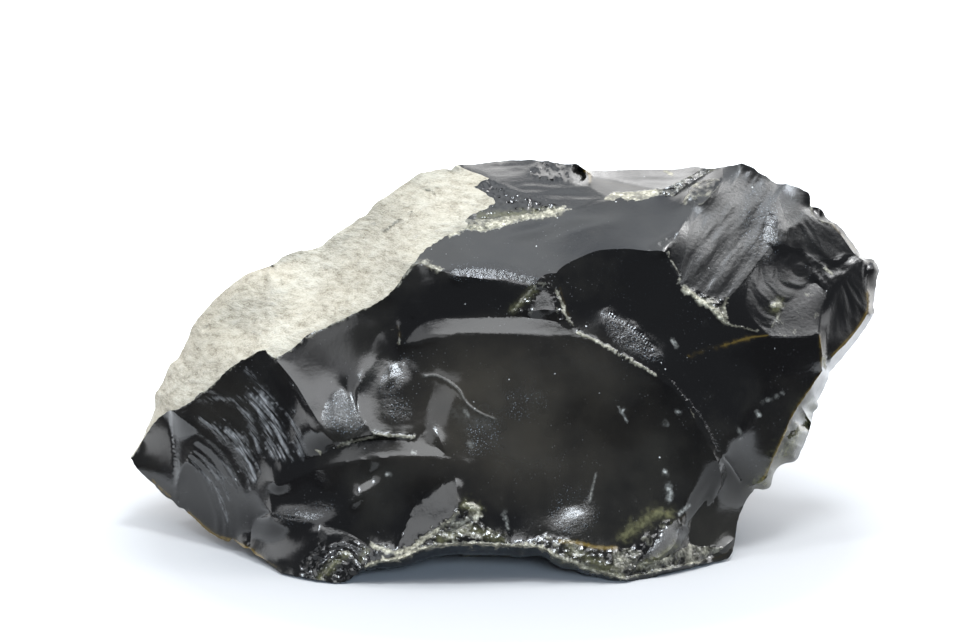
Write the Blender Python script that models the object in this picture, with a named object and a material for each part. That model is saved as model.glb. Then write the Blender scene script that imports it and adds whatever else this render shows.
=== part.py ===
"""Obsidian chunk: one hand-sized lump of volcanic glass.

The lump is built the way it was made: a rough block is split along flat
fracture planes, and then curved flakes are struck off it.  Every flake
leaves a shallow, shell-shaped (conchoidal) scar.

Axes: +X to the right along the longest side, -Y towards the front (the
side with the largest scar), +Z up.  The lump stands on its flat rest
facet at Z = 0 and its box is centred on X = Y = 0.
"""
import math

import bmesh
import bpy
from mathutils import Euler, Matrix, Vector

MM = 0.001

# ---------------------------------------------------------------- sizes, mm
LENGTH = 153.8          # X
DEPTH = 82.4            # Y
HEIGHT = 75.6           # Z
HEART = (0.0, -1.7, 38.0)  # point that the fracture planes are measured from

# Flat fractures of the block: name, azimuth and elevation of the outward
# normal in degrees (azimuth 0 faces the front, 90 faces +X), and distance
# from HEART in mm.
FRACTURES = [
    # front
    ("front",              2,   12, 33.0),
    ("front_left",       -18,   14, 33.6),
    ("front_band",       -32,   26, 34.0),
    ("front_right",       30,   14, 40.8),
    ("front_foot",       -14,    0, 42.0),
    ("front_lower_right", 32,  -12, 49.6),
    ("left_scar",        -37,    9, 43.0),
    ("left_lower",       -43,   -4, 50.2),
    ("left_tip",         -52,   -5, 58.6),
    ("left_crust_side",  -80,   33, 51.0),
    # weathered crust, top left
    ("crust",            -46,   51, 30.2),
    ("crust_end",        -62,   43, 39.6),
    # top
    ("top_trough",        -3,   65, 29.4),
    ("top_slope",          5,   70, 30.6),
    ("top_flat",          15,   87, 36.3),
    ("top_right",         28,   44, 37.2),
    ("right_crown",       42,   50, 45.3),
    ("right_shoulder",    62,   62, 51.0),
    # right side
    ("right_face",        50,    4, 53.6),
    ("right_shards",      66,  -28, 55.6),
    ("right_under",      100,  -46, 56.4),
    ("right_back",       122,  -27, 57.8),
    ("right_back_mid",   146,   10, 53.8),
    ("right_back_top",   149,   30, 50.8),
    # back
    ("back_top_right",   163,   41, 46.4),
    ("back_top",        -176,   54, 40.3),
    ("back_crust",      -142,   55, 39.6),
    ("back_left_top",   -134,   41, 45.5),
    ("back_left",       -147,  -11, 51.0),
    ("back_left_mid",   -156,   -4, 46.0),
    ("back_mid",        -170,    1, 43.0),
    ("back_right_mid",   174,    1, 44.0),
    ("back_right",       153,   -5, 49.0),
    # underside
    ("back_under_left", -150,  -38, 50.0),
    ("back_under_mid",  -173,  -31, 44.6),
    ("back_under_right", 167,  -36, 46.3),
    ("right_under_back", 134,  -43, 53.0),
    ("left_under",      -137,  -57, 49.9),
    ("left_under_front", -68,  -66, 51.4),
    ("right_under_front", 96,  -62, 54.0),
]

# Struck flakes: name, middle of the scar's rim plane (x, y, z in mm),
# azimuth and elevation of the direction it opens to, half width, half
# height and depth of the dish, and spin about that direction in degrees.
FLAKES = [
    ("main_dish",       (8, -34.2, 30.5),    2,  12, 37, 22, 6.0, -10),
    ("lower_left",    (-28, -35.0, 18.0), -17,  14, 19, 11, 3.0,   8),
    ("left_scar",     (-53, -20.0, 22.0), -35,   9, 20, 17, 2.6,   0),
    ("front_band",    (-31, -23.6, 44.5), -34,  27, 16, 18, 3.0, -30),
    ("lens",           (-8, -25.0, 55.0), -12,  30, 11,  5, 1.8,   0),
    ("upper_trough",   (12, -13.2, 65.4),  -3,  64, 26, 10, 2.6,   4),
    ("top_trough",      (6,   8.0, 74.6),   4,  72, 19,  9, 1.8,   8),
    ("right_upper",    (27, -25.0, 47.0),  22,  10, 17, 15, 4.4, -15),
    ("right_long",    (47, -20.5, 35.0),  36,  14, 20, 22, 4.0,  28),
    ("right_valley",   (42, -25.5, 22.0),  44,   6,  6, 15, 2.2,  28),
    ("satin_face",     (45,  -4.0, 65.0),  28,  44, 10, 14, 2.2,   0),
    ("right_hollow",   (66,  -3.0, 55.0),  42,  32,  7,  6, 2.0,   0),
    ("right_edge",     (74,   1.5, 45.0),  60,   6,  5, 11, 1.2,   0),
    ("foot_swirl",    (-34, -39.0,  4.5), -20, -10, 10,  7, 1.6,   0),
    ("front_arch",     (-2, -36.0,  0.4),  -8, -52, 29,  9, 7.0,   0),
    ("left_arch",     (-54, -18.0,  6.0), -50, -40, 18, 12, 2.2,   0),
    ("back_scar_a",   (-37,  32.0, 33.0), -156, -4, 17, 19, 2.6,   0),
    ("back_scar_b",   (-12,  40.5, 38.5), -170,  1, 12, 17, 2.0,   0),
    ("back_scar_c",    (13,  42.5, 38.5),  174,  1, 13, 18, 2.2,   0),
    ("back_scar_d",    (40,  34.5, 35.5),  153, -5, 17, 17, 3.0,   0),
    ("back_top_scar",   (8,  27.5, 67.0), -176, 54, 19, 12, 1.8,   0),
    ("right_back_scar", (59, 15.0, 30.0),  122,-27, 13, 13, 2.0,   0),
    ("under_scar_a",  (-37,  24.0,  9.0), -150,-38, 13, 10, 1.6,   0),
    ("under_scar_b",    (4,  35.5, 11.5),  178,-34, 19,  9, 1.8,   0),
]
FLAKE_SUBDIVISIONS = 4      # facets of each dish
WELD = 0.00002              # metres
MARGIN = 6.0                # mm of block beyond each side before it is split

COLLECTION = "obsidian_chunk"
CUTTERS = "flake_cutters"


def facing(azimuth, elevation):
    """Unit vector for an azimuth from the front (-Y) and an elevation."""
    a, e = math.radians(azimuth), math.radians(elevation)
    return Vector((math.sin(a) * math.cos(e), -math.cos(a) * math.cos(e), math.sin(e)))


def clear_scene():
    for ob in list(bpy.data.objects):
        bpy.data.objects.remove(ob, do_unlink=True)


def new_collection(name):
    coll = bpy.data.collections.new(name)
    bpy.context.scene.collection.children.link(coll)
    return coll


def glass_material():
    mat = bpy.data.materials.new("obsidian")
    mat.use_nodes = True
    bsdf = mat.node_tree.nodes["Principled BSDF"]
    bsdf.inputs["Base Color"].default_value = (0.012, 0.012, 0.013, 1.0)
    bsdf.inputs["Roughness"].default_value = 0.08
    bsdf.inputs["Metallic"].default_value = 0.0
    bsdf.inputs["IOR"].default_value = 1.49
    mat.diffuse_color = (0.012, 0.012, 0.013, 1.0)
    return mat


def split_block():
    """A block a little larger than the lump, split along every fracture."""
    bm = bmesh.new()
    bmesh.ops.create_cube(bm, size=1.0)
    size = Vector((LENGTH, DEPTH, HEIGHT + MARGIN)) * MM
    centre = Vector((0.0, 0.0, (HEIGHT + MARGIN) / 2)) * MM
    bmesh.ops.transform(bm, matrix=Matrix.Translation(centre) @ Matrix.Diagonal((*size, 1.0)), verts=bm.verts)
    heart = Vector(HEART) * MM
    for _name, az, el, dist in FRACTURES:
        n = facing(az, el)
        cut = bmesh.ops.bisect_plane(
            bm, geom=bm.verts[:] + bm.edges[:] + bm.faces[:], dist=1e-7,
            plane_co=heart + n * dist * MM, plane_no=n, clear_outer=True)
        rim = [g for g in cut["geom_cut"] if isinstance(g, bmesh.types.BMEdge)]
        if rim:
            bmesh.ops.contextual_create(bm, geom=rim)
    bmesh.ops.remove_doubles(bm, verts=bm.verts, dist=WELD)
    bmesh.ops.recalc_face_normals(bm, faces=bm.faces)
    mesh = bpy.data.meshes.new("obsidian_chunk")
    bm.to_mesh(mesh)
    bm.free()
    return mesh


def flake_cutter(name, at, az, el, half_w, half_h, depth, spin, coll):
    """An ellipsoid whose lowest cap is the dish left by one flake."""
    k = math.sqrt(1.0 - 0.75 ** 2)            # rim radius / semi-axis at 3/4 height
    semi = (half_w / k, half_h / k, 4.0 * depth)
    bm = bmesh.new()
    bmesh.ops.create_icosphere(bm, subdivisions=FLAKE_SUBDIVISIONS, radius=1.0)
    mesh = bpy.data.meshes.new(name)
    bm.to_mesh(mesh)
    bm.free()
    ob = bpy.data.objects.new(name, mesh)
    n = facing(az, el)
    side = Vector((0, 0, 1)).cross(n).normalized()
    up = n.cross(side)
    turn = Matrix((side, up, n)).transposed().to_4x4() @ Matrix.Rotation(math.radians(spin), 4, "Z")
    centre = (Vector(at) + n * 3.0 * depth) * MM
    ob.matrix_world = Matrix.Translation(centre) @ turn @ Matrix.Diagonal((*(Vector(semi) * MM), 1.0))
    ob.hide_render = True
    ob.display_type = "WIRE"
    coll.objects.link(ob)
    return ob


def main():
    clear_scene()
    parts = new_collection(COLLECTION)
    cutters = new_collection(CUTTERS)
    cutters.hide_render = True

    stone = bpy.data.objects.new("obsidian_chunk", split_block())
    parts.objects.link(stone)
    stone.data.materials.append(glass_material())

    for name, at, az, el, half_w, half_h, depth, spin in FLAKES:
        cutter = flake_cutter("flake_" + name, at, az, el, half_w, half_h, depth, spin, cutters)
        strike = stone.modifiers.new(name, "BOOLEAN")
        strike.operation = "DIFFERENCE"
        strike.solver = "EXACT"
        strike.object = cutter


main()
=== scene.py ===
"""Looks of the obsidian chunk: the lump's full surface, its glass, its crust and the studio.

The surface is drawn as ridges.  Every ridge between two fracture scars is a
line in the picture plane, and a smooth body gives each point of a ridge its
depth.  The scar between the ridges is a thin plate stretched over its own
rim, so that two scars always meet in a crisp edge.  Ripples, hackles, chips
and crust grain are then raised on the mesh itself.
"""
import itertools
import math

import bpy
import numpy as np
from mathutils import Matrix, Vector
from mathutils.geometry import delaunay_2d_cdt
from mathutils.kdtree import KDTree


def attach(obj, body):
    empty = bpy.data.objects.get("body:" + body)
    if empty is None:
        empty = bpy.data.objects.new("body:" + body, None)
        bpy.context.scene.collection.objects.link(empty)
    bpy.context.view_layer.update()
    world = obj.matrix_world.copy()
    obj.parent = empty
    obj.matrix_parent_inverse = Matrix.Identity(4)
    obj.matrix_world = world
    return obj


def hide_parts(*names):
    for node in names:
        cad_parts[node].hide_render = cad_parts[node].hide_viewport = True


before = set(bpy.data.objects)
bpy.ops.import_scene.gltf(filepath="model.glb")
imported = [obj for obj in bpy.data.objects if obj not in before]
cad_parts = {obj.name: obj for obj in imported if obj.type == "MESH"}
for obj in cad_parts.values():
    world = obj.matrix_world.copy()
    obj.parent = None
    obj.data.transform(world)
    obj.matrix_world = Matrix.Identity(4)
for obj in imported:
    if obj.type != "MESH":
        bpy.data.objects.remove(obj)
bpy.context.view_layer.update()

rng = np.random.RandomState(7)
SHIFT = np.array([-0.13, -1.73, 0.0])      # mm, from the drawing's origin to the part's

# ------------------------------------------------------------------ the drawing
# Lines in the picture plane, u to the right and v downwards.
# outline, clockwise from the left tip
SIL = [(130.5,458),(133,453.5),(137,448),(142,440),(146,430),(150,421),(153,414),(155,408),(154.5,400),(155.5,393),(159,388),(164,379),(167,371),(170,364.5),(173,361.5),(178,358),(181,352),(185,345),(189,336),(191,329),(195,322),(200,316),(206,309),(214,300),(222,292.5),(230,286),(236,281),(243,276),(247,273.5),(254,271),(262,268.5),(270,265.5),(278,261),(284,256),(290,253.5),(300,250.5),(310,249.5),(321,246.5),(326,242),(331,237.5),(340,231),(350,225),(358,219),(366,214.5),(370,210),(374,204.5),(380,200),(390,194),(397,189),(404,184.5),(410,180),(416,175.5),(420,173),(430,171.5),(437,169.5),(446,168.8),(452,169.5),(455.5,165.5),(459,165),(470,164.5),(480,163.5),(490,162),(500,161),(510,160),(520,160.5),(530,159.7),(540,161),(548,160.5),(552,162),(560,163.5),(570,164),(577,164.2),(581,167),(586,170),(590,170.2),(600,170.6),(605,171),(620,170),(640,169.5),(660,169.5),(671,169.5),(680,168.6),(690,167),(697,166.8),(705,168.6),(712,168.8),(718,167.8),(725,166.6),(733,165.4),(739,164),(742,163.3),(746,165),(751,167),(755,169),(758,172),(763,174.5),(768,178),(773,181.5),(778,184),(783,184),(787,184),(792,185.5),(797,187),(800,188.5),(803,190),(807,191.5),(810,195),(810.5,201),(811,206.3),(815,207),(820,209),(823.5,212),(826,217),(831,221),(836,223.5),(840,227),(844,231),(848,237),(853,243),(858,250.5),(862,256),(868,258.5),(873,259.5),(876,262.5),(878.5,268),(879,272),(877,280),(875.5,290),(874.3,300),(873.5,306),(875,311),(872.5,316.5),(868,325),(860,336),(850,349),(840,361),(833,369),(829.5,374),(829,377.5),(826,384),(823,391),(820,397),(817.5,401),(818.5,404),(817.5,408),(813.5,412.5),(812.8,418),(811,425),(809,432),(806,440),(803.5,446),(800.5,452),(799,457),(794.5,461.5),(788,463),(782,464.6),(777,468.5),(773.5,474.5),(772,480.5),(771,485),(768.5,488.5),(764,489.6),(759,489),(754.5,489.3),(753,492),(749,496),(746,501),(743,506.5),(740.5,512.5),(738,520),(737,526),(736,533),(735,540),(733.6,547),(732.5,552),(730,556),(727,559),(722,560.5),(714,561.8),(706,563),(698,563.2),(690,564.3),(680,566.8),(670,569),(660,570.8),(650,573),(640,575.6),(632,577.6),(625,578.8),(617,576.3),(610,574),(603,573),(596,571.2),(590,571),(584,569.3),(578,566),(573,562.3),(568,560.6),(562,560),(556,557),(551.5,554),(548,550.5),(540,548),(530,545.6),(520,545),(515,546.2),(510,545),(503,544.2),(495,544.6),(487,543.2),(478,543.1),(470,543.6),(462,542.6),(455,543.4),(445,544.4),(437,545),(428,547),(420,549.6),(413,553),(408,556.4),(403,557.2),(395,559),(388,560.8),(380,560.2),(375,562),(370,565),(362,568),(357,571.4),(353.5,576.5),(350,579),(345,581.2),(340,582.6),(335,583),(328,581.3),(322,580.2),(316,579.6),(308,578.3),(300,576.2),(294,575.4),(288,574),(281,572.8),(274,567),(267,561.3),(261,557.2),(254.5,554),(250,548.8),(243.5,547.6),(238,543),(232,538.6),(229.5,541.4),(226,541.2),(220,538.4),(213,534.4),(206,530),(200,524.2),(194,518.2),(188,513),(184,509),(179,507.4),(175,503.2),(172,500),(168,498),(163,494),(158,489),(155,485),(150,481),(142,473.4),(137,468.8),(134,464),(132.8,460)]

R = {}
# cortex / glass boundary
R['cb1'] = [(129,459.5),(133,456),(137,450),(142.5,441),(147.5,432.5),(152,425.5),(157,420),(163,414.5),(168.5,411)]
R['cb2'] = [(168.5,411),(178,409),(185,405),(193,400),(198,394.5),(206,390),(212,385),(219,379.5),(224.5,372.5),(232,367),(240,361.5),(248,357.5),(255,353.3),(261,350.2),(265.5,350)]
R['cb3'] = [(265.5,350),(269,354.5),(274,357.3),(281,355.2),(290,350),(299,343),(305.5,336.5),(313,332),(322,329),(332,324.3),(340,320),(350,316),(356,312.3),(363,309.3),(371,306),(380,301),(387,296),(393,290),(399,283.5),(402,278),(406,272),(411,266),(416,261)]
R['cb4'] = [(416,261),(419,256),(425,249.5),(432,245),(440,240),(448,235),(456,232),(463,229.5)]
R['cb5'] = [(463,229.5),(468,225),(466,220),(470,215.5),(478,211.5),(487,208),(493,204),(494,199.5),(489,196),(482,191),(474,187),(480,183),(485,180),(489,178.3)]
R['cb6'] = [(489,178.3),(480,174.5),(470,171),(463,168),(455.5,163.5)]
# bevel on the cortex
R['cbev'] = [(157,419),(164,408),(170,396),(175,382),(180,369),(185,358.5),(190,350),(198,338.5),(205,328.5),(215,318),(225,306),(232,298),(241,288.5),(251,279),(262,271.5),(270,270.5),(277,276),(283,282.5)]
R['cbev2'] = [(262,271.5),(268,267),(276,261.5)]
# left tip facet right side
R['tip'] = [(168.5,411),(169,424),(170.5,437),(172.5,452),(174.5,470),(176,487),(177.5,508)]
# wedge beside it
R['wedge'] = [(171,411),(180,418),(189,425),(196,433),(193,443),(189,452.5),(184,463),(180,473),(176.5,486)]
# long double ridge to the right of the striated scar
R['lr1'] = [(265.5,350),(272,361),(280,372.5),(288,384),(296,396),(303,409),(309,421),(315,433),(320,444),(325,455)]
R['lr2'] = [(274,357.3),(284,369),(292,379),(299,389),(306,401),(313,412.5),(320,424),(328,436),(338,449)]
# lower left dish outline
R['d2top'] = [(272,524),(270.5,512),(270,500),(270.5,490),(275,480.5),(283,472),(292,465.5),(302,461),(313,457.5),(325,452.5),(338,448),(350,444),(365,441.3),(380,440.2),(395,440.3),(408,441),(420,442.3),(430,444.5),(438,448.5),(445,454.5),(449.5,461),(453,470),(455.5,480),(457,490),(458,500),(458.5,510)]
R['d2bot'] = [(270,517),(280,517),(295,518.5),(308,521),(321,524),(335,528),(349,533.5),(360,540),(367,546.5)]
R['d2br'] = [(367,546.5),(373,543),(380,544.5),(387,551),(393,553.6),(400,552.5),(408,549.5),(414,546),(421,540.5),(429,533.5),(437,528),(443,524),(450,518.5),(458.5,510)]
# step left of it
R['st1'] = [(249,549),(250.5,540),(251.5,530),(253,521),(259,516.3),(266,514),(272,512.5)]
# lower scar and swirl
R['sw1'] = [(366,545.8),(356,541),(346,539),(336,541.5),(328,546),(320,543),(311,549),(303,558),(299.5,567),(299,578)]
R['sw2'] = [(321,524),(318,532),(320,543)]
# crush band left of arch
R['cr1'] = [(367,546.5),(372,553),(376,563.5)]
# centre dish outline
R['d1top'] = [(396,327),(403,322.3),(413,319.2),(430,317.8),(450,317),(480,316),(500,315.4),(520,317),(535,318.6),(548,320.3),(560,323),(570,327.5),(580,333)]
R['d1r'] = [(580,333),(588,336.8),(597,341.5),(606,347),(615,352.5),(624,358),(634,362.5),(643,366.5),(652,372),(661,379),(670,386),(679,393.5),(687,403),(693,415),(699,427),(706,439),(713,452),(718,463),(721,475),(721,485),(718,494)]
R['d1rb'] = [(718,494),(712,502),(704,510),(697,518),(691.5,527),(689,537),(690,548)]
R['d1l'] = [(399.5,324.5),(399.5,334),(399,343),(395,349.5),(388,352.5),(380,357.5),(372,363.5),(366,371),(361,380),(358,390),(357,400),(358.5,410),(362,420),(368,428.5),(374,434)]
R['d1in'] = [(408,349),(400,358),(392,368),(385,375.5),(381.5,387),(380,399),(385,407),(393,414),(399,422),(404,432),(406,441)]
R['d1b1'] = [(458.5,510),(466,507.5),(472,504.5),(480,510.5),(476,518),(482,523.5),(490,528.5),(497,532.5),(503,537),(510,540.5),(516,541.5),(524,541.5),(533,539),(540,536),(546,534),(552,539)]
R['d1b2'] = [(552,539),(563,538),(574,541.5),(586,546),(598,548.8),(610,549.6),(620,549.3),(630,547.8),(637,542),(644,536),(651,530.3),(658,524),(665,519.6),(672,518.8),(678,520.5),(682,525.5)]
R['lipc'] = [(374,434),(381,434.6),(390,437.5),(398,436.5),(406,435.5),(413,438.5),(420,442.3)]
R['lipd'] = [(334,449.5),(344,441.5),(354,438),(364,435.6),(374,434)]
R['lipe'] = [(416,439),(424,431),(431,429.5),(437,434),(441,441.5),(446,453.5)]
# chip left of the dish top
R['chip1'] = [(403,322.3),(394,325),(384,329.3),(377,334),(372,341.5),(369,352),(368.5,368)]
# dark lens and region boundaries
R['lens'] = [(413,319.8),(415,301),(424,293.5),(431,287),(437,281),(446,277.8),(458,276.5),(470,277),(482,279),(494,283),(504,287.5),(513,293.5),(519.5,300.5),(515,307.5),(509,315.6)]
R['lensl'] = [(416,261),(423,264.5),(431,268),(441,271.5),(452,274.5),(460,276.5)]
R['bright'] = [(441,271.5),(452,270.5),(468,271),(484,271.3),(500,272),(512,273),(522,275.5),(530,280.5),(535,284.5)]
R['lens2'] = [(504,287.5),(513,286.5),(523,287),(531,284.5),(535,284.5)]
# little triangle cluster
R['tri1'] = [(519.5,300.5),(526,295),(532,289),(536,283.5),(544,280),(551,281.5),(556,286),(560,296),(564,307),(567,318),(572,328)]
R['tri2'] = [(536,284.5),(540,290),(536.5,299),(533,309),(531,318.5)]
R['tri3'] = [(540,290),(549,292),(552.5,301),(556,311),(559,323)]
R['tri4'] = [(533.5,311),(543,309.5),(553.5,310.5)]
# upper band
R['ubot'] = [(535,284.5),(541,277),(548,273.5),(556,273),(559,269.5),(564,265.5),(572,261),(582,256.5),(592,252.3),(602,249.8),(615,249),(628,248.8),(640,250),(650,250.8),(656,250.5)]
R['ub2'] = [(556,273),(556.5,282),(560,296)]
R['utop'] = [(463,229.5),(471,228.5),(480,230),(489,229.5),(498,226.5),(507,223.5),(517,221),(530,219),(543,217.3),(552,215.5),(560,211.5),(570,209.3),(580,208.8),(588,206.3),(600,203),(610,200),(620,197.3),(627,199.5),(638,200),(647,197.5),(656,195.5),(664,195),(672,197),(680,199),(684.5,202)]
R['utopc'] = [(467,219),(478,220),(490,219.5),(500,217.5),(512,216),(524,215.5),(536,213.8),(548,212),(560,209.5),(570,208.4)]
R['uright'] = [(684.5,202),(687.5,209),(687,217),(682.5,226),(677,234),(671,241),(664,246),(656,250.5)]
R['ub3'] = [(656,250.5),(663,251),(668,255),(670,262),(674,268.5),(678,275),(681,285.5)]
R['ub4'] = [(677,234),(673,245),(669.5,256)]
# top facets
R['t1'] = [(489,178.3),(497,182),(507,187),(517,191.3),(528,195.3),(540,199.2),(551,203),(561,206.3),(571,209.5)]
R['t2'] = [(544,200.5),(556,203.6),(567,205),(578,205),(586,203.5),(592,200.3),(598,198.5),(605,199.3),(612,199.5)]
R['lump'] = [(541,160.4),(535,164.5),(530,169),(528.5,174),(534,178),(545,180.3),(558,182),(570,183),(580,184.5),(587,186),(590.5,182),(592.5,176.5),(588,171.5),(583,168.2)]
R['td1'] = [(592.5,176.5),(602,178),(614,180),(626,183),(638,185.7),(648,187.7),(656,189.6)]
R['td2'] = [(587,186),(594,189.5),(600,193.5),(606,196.6),(613,193),(625,192.3),(637,192),(648,190.6),(656,189.6)]
R['td3'] = [(606,196.6),(605.5,199.3)]
R['tb1'] = [(656,189.6),(664,188.5),(672,185),(680,181),(688,177),(696,172.5),(704,167)]
R['tb2'] = [(656,189.6),(658,195.5)]
R['sr0'] = [(672,197),(678,191.5),(685,186),(691,183),(697,178.5),(705,174),(713,170),(720,166)]
# satin facet
R['sl'] = [(684.5,202),(688.5,196),(691.5,190),(697,183.5),(706,180),(715,179.3),(722,181)]
R['sl2'] = [(722,181),(717,188),(710.5,196),(703.5,203),(697,204),(692.5,199),(691.5,190)]
R['sl3'] = [(694,202.5),(691.5,212),(690.5,222),(689,235),(687.5,248),(684.5,260),(682.5,272),(681,285.5)]
R['sl4'] = [(722,181),(723,174),(722,165)]
R['sbt'] = [(681,285.5),(690,286.8),(699,291),(708,295.5),(718,297.6),(727,297)]
R['sbb'] = [(681,285.5),(688,290.5),(695,297),(703,303.5),(711,308.5),(716,315),(721,320),(725,318.5),(724.5,309),(727,300)]
R['sfold'] = [(787,182),(781,191),(775,199.5),(768.5,209),(765,218),(762,228),(762,238),(765,247),(770.5,246.5)]
R['sr1'] = [(768.5,209),(773,214),(782,213.3),(792,212.5),(803,212.8),(812,212.5)]
R['sr2'] = [(776,214),(778,221),(778.5,228),(786,228.8),(792,227.5),(797.5,224),(801.5,219),(803.5,212.8)]
R['sr3'] = [(778.5,228),(777.5,236),(775,245.5)]
R['sr4'] = [(812,204),(811.5,212.5),(815.5,218),(823,221.5),(832,223.5)]
# dark facet at the right of it, and its rim
R['dk1'] = [(775,245.5),(784,244),(793,247.5),(803,248.5),(811,254),(820,259),(830,258.5),(840,256),(850,254),(860,255)]
R['dk2'] = [(829,222.5),(836,229),(842,236.5),(848,245),(852.5,251.5),(859,259)]
# hollow below
R['hl1'] = [(820,259),(826,264),(832,268),(840,266),(848,263),(859,259)]
R['hl2'] = [(812,268),(816,275),(820,282.5),(823,289),(828,291)]
R['hl3'] = [(803,248.5),(806,257),(812,268)]
# lump with ripples
R['lp1'] = [(770.5,246.5),(763,255),(756,264),(750,272),(743,281),(736,289.5),(727,299)]
R['lp2'] = [(727,299),(724.5,308),(726,318),(731,325),(739,326.3),(749,327.3),(757.5,329.8),(768,335.3)]
R['lp3'] = [(768,335.3),(771.5,327),(776,317),(782,309),(789,301.5),(797,295),(804,288.5),(810,284),(816,283)]
R['lp4'] = [(770.5,246.5),(774,252),(779,256.3),(785,256.5),(790,253.5),(793.5,252.5),(800,257),(806,262.5),(812,268)]
R['lp5'] = [(810,284),(808.5,276),(812,268)]
R['lp6'] = [(764,256),(757.5,266),(752.5,277),(748,290),(746.5,303),(750.5,315),(758,325),(768,335.3)]
R['lp7'] = [(785,256.5),(777,263),(768,269),(758,270.5),(755,271)]
# light facet and the striated right facet
R['lf1'] = [(816,283),(821,287.5),(826,290.5),(824,300),(821.5,310),(820,322),(819,333)]
R['lf2'] = [(768,335.3),(780,336),(792,336.3),(804,335.8),(813,334.8),(819,333)]
R['rf1'] = [(826,290.5),(833,284.5),(841,277.5),(849,270),(857,264),(863,260)]
R['rf2'] = [(863,260),(862,270),(862.5,280),(866,288),(868,297),(868,307),(867,314),(862,323),(855,332.5),(846,343.5),(838,351),(833,356.5),(829,361.5)]
R['rf3'] = [(819,333),(821,342),(824,352),(827,359),(829,361.5)]
R['rf4'] = [(863,260),(858,257)]
R['rf5'] = [(866,288),(866,278),(869,270),(873,264),(876,261)]
R['rf6'] = [(867,314),(871,314.5),(876,313)]
R['rf7'] = [(829,361.5),(828,368),(826.5,372)]
R['rf8'] = [(845,276),(840,288),(835,302),(830,320),(827,340),(828.5,358)]
# right edge of dark dish
R['re1'] = [(819,333),(820.5,342),(822,352),(821.5,362),(822.5,371),(826.5,372)]
R['re2'] = [(822.5,371),(817,379),(811,388),(805,396.5),(799.5,404),(795,411.5),(790,421),(786,431),(781.5,441),(776.5,451.5),(772,461),(769,469),(766.5,477),(762,481.5),(755,484.5),(748.5,486.5)]
R['re3'] = [(826.5,372),(830.5,374)]
R['re4'] = [(799.5,404),(806,402),(812,399.5),(818.5,398.5)]
R['re5'] = [(799.5,404),(804,411),(808,418),(812.5,424)]
R['re6'] = [(790,421),(797,424),(801,432),(799,443),(802,449)]
R['re7'] = [(776.5,451.5),(784,452),(791,456),(797,460)]
R['re8'] = [(766.5,477),(771,474),(775,471)]
R['re9'] = [(748.5,486.5),(755,490.5)]
# amber lip inside dark dish
R['al1'] = [(768,335.3),(757,336.3),(746,338.6),(734,342.3),(722,346.3),(712,349.8),(703,351.8),(696,354.5),(690,358),(686,359),(681.5,356),(678,350)]
# left side of dark dish, valley line
R['vl0'] = [(560,296),(566,305),(571,316),(576,326),(580,333)]
R['vl1'] = [(640,350),(649,356.5),(657,365),(666,374.5),(676,384.5),(685,394.5),(692,404),(699,414.5),(707,426),(716,440),(726,454.5),(737,469),(748.5,486.5)]
R['vl2'] = [(703,420.5),(711,434),(719,448),(728,463),(737,476),(745,488),(750,496.5)]
R['vl3'] = [(718,494),(724,483),(727,472),(722,460),(714,446)]
R['vl4'] = [(727,472),(729.5,484),(730,497),(729,508),(724,517)]
# bottom right facets
R['br1'] = [(738.5,520),(731,527),(724,531.5),(718,535.5),(713.5,541),(709,546),(700,546.5),(690,544.5)]
R['br2'] = [(709,546),(716,548.3),(723,548),(716,552.5),(708,557),(701,561.5)]
R['br2b'] = [(723,548),(729,543),(736,537)]
R['br3'] = [(690,544.5),(682,546),(674,550),(668,555),(662,560.5),(654,564.5),(645,567.5),(636,569.5),(629,571)]
R['br4'] = [(701,561.5),(690,561.8),(680,564.3),(668,567),(656,569),(645,571.5),(636,574),(629,575.8),(622,578.5)]
R['br5'] = [(682,525.5),(678.5,532),(677,539),(673,546),(667,552),(659,557),(649,560),(639,560.8),(630,560.5),(622,554),(618,549.4)]
R['br6'] = [(636,542.8),(630,541),(624,537),(630,529.5),(637,521),(644,514),(652,509.5),(661,508),(668,511),(672,518.8)]
R['br7'] = [(682,525.5),(686,532),(689,537)]
# crushed strips along the arch
R['cs1'] = [(437,528),(446,532),(456,530),(466,524),(476,518)]
R['cs2'] = [(408,549.5),(418,545.5),(430,541.5),(444,539.5),(458,539.5),(474,538.5),(490,539),(503,541),(516,545.5)]
R['cs3'] = [(552,539),(550.5,546),(551.5,555)]
R['cs4'] = [(618,549.4),(612,557),(616,566),(622,573),(624,580)]
R['cs5'] = [(551.5,548),(562,553),(574,558),(586,562),(598,565.5),(612,569.5),(622,573)]

# depth (mm, + = away from the viewer) at points of the outline, clockwise from the left tip
SILD = [(130,458,3),(146,430,6),(155,400,9),(170,364,11),(189,336,12),(214,300,13),(262,268,13),(310,249,11),(340,231,10),(380,200,9),(420,173,10),(455,165,13),(500,161,21),(548,160,20),(575,164,20),(605,171,24),(650,170,23),(690,167,17),(712,168,13),(742,163,10),(783,184,10),(810,201,8),(826,217,9),(853,243,10),(878,268,10),(875,300,8),(873,316,7),(850,349,5),(829,374,3),(818,404,1),(812,421,0),(803,446,-3),(794,461,-5),(773,474,-8),(768,488,-9),(754,489,-11),(745,503,-13),(737,526,-16),(732,552,-19),(714,561.8,-22),
 (700,566,-24),(678,571,-27.5),(650,578,-31),(629,582,-33),(618,582,-33),(600,577,-32),(584,574,-31.5),(564,568.5,-31),(541,556,-30),(500,554.5,-30),(470,554,-30),(438,556,-31),(417,562,-32),(389,568.6,-33),(358,574,-34.3),(350,580,-34.8),(335,583.5,-35),(318,580.4,-34),(300,576.2,-32),(281,572.8,-29),(267,561.3,-24),(250,548.8,-19),(232,538.6,-14),(206,530,-9),(188,513,-6),(176,505,-4),(158,489,-1),(140,472,1.5)]
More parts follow.
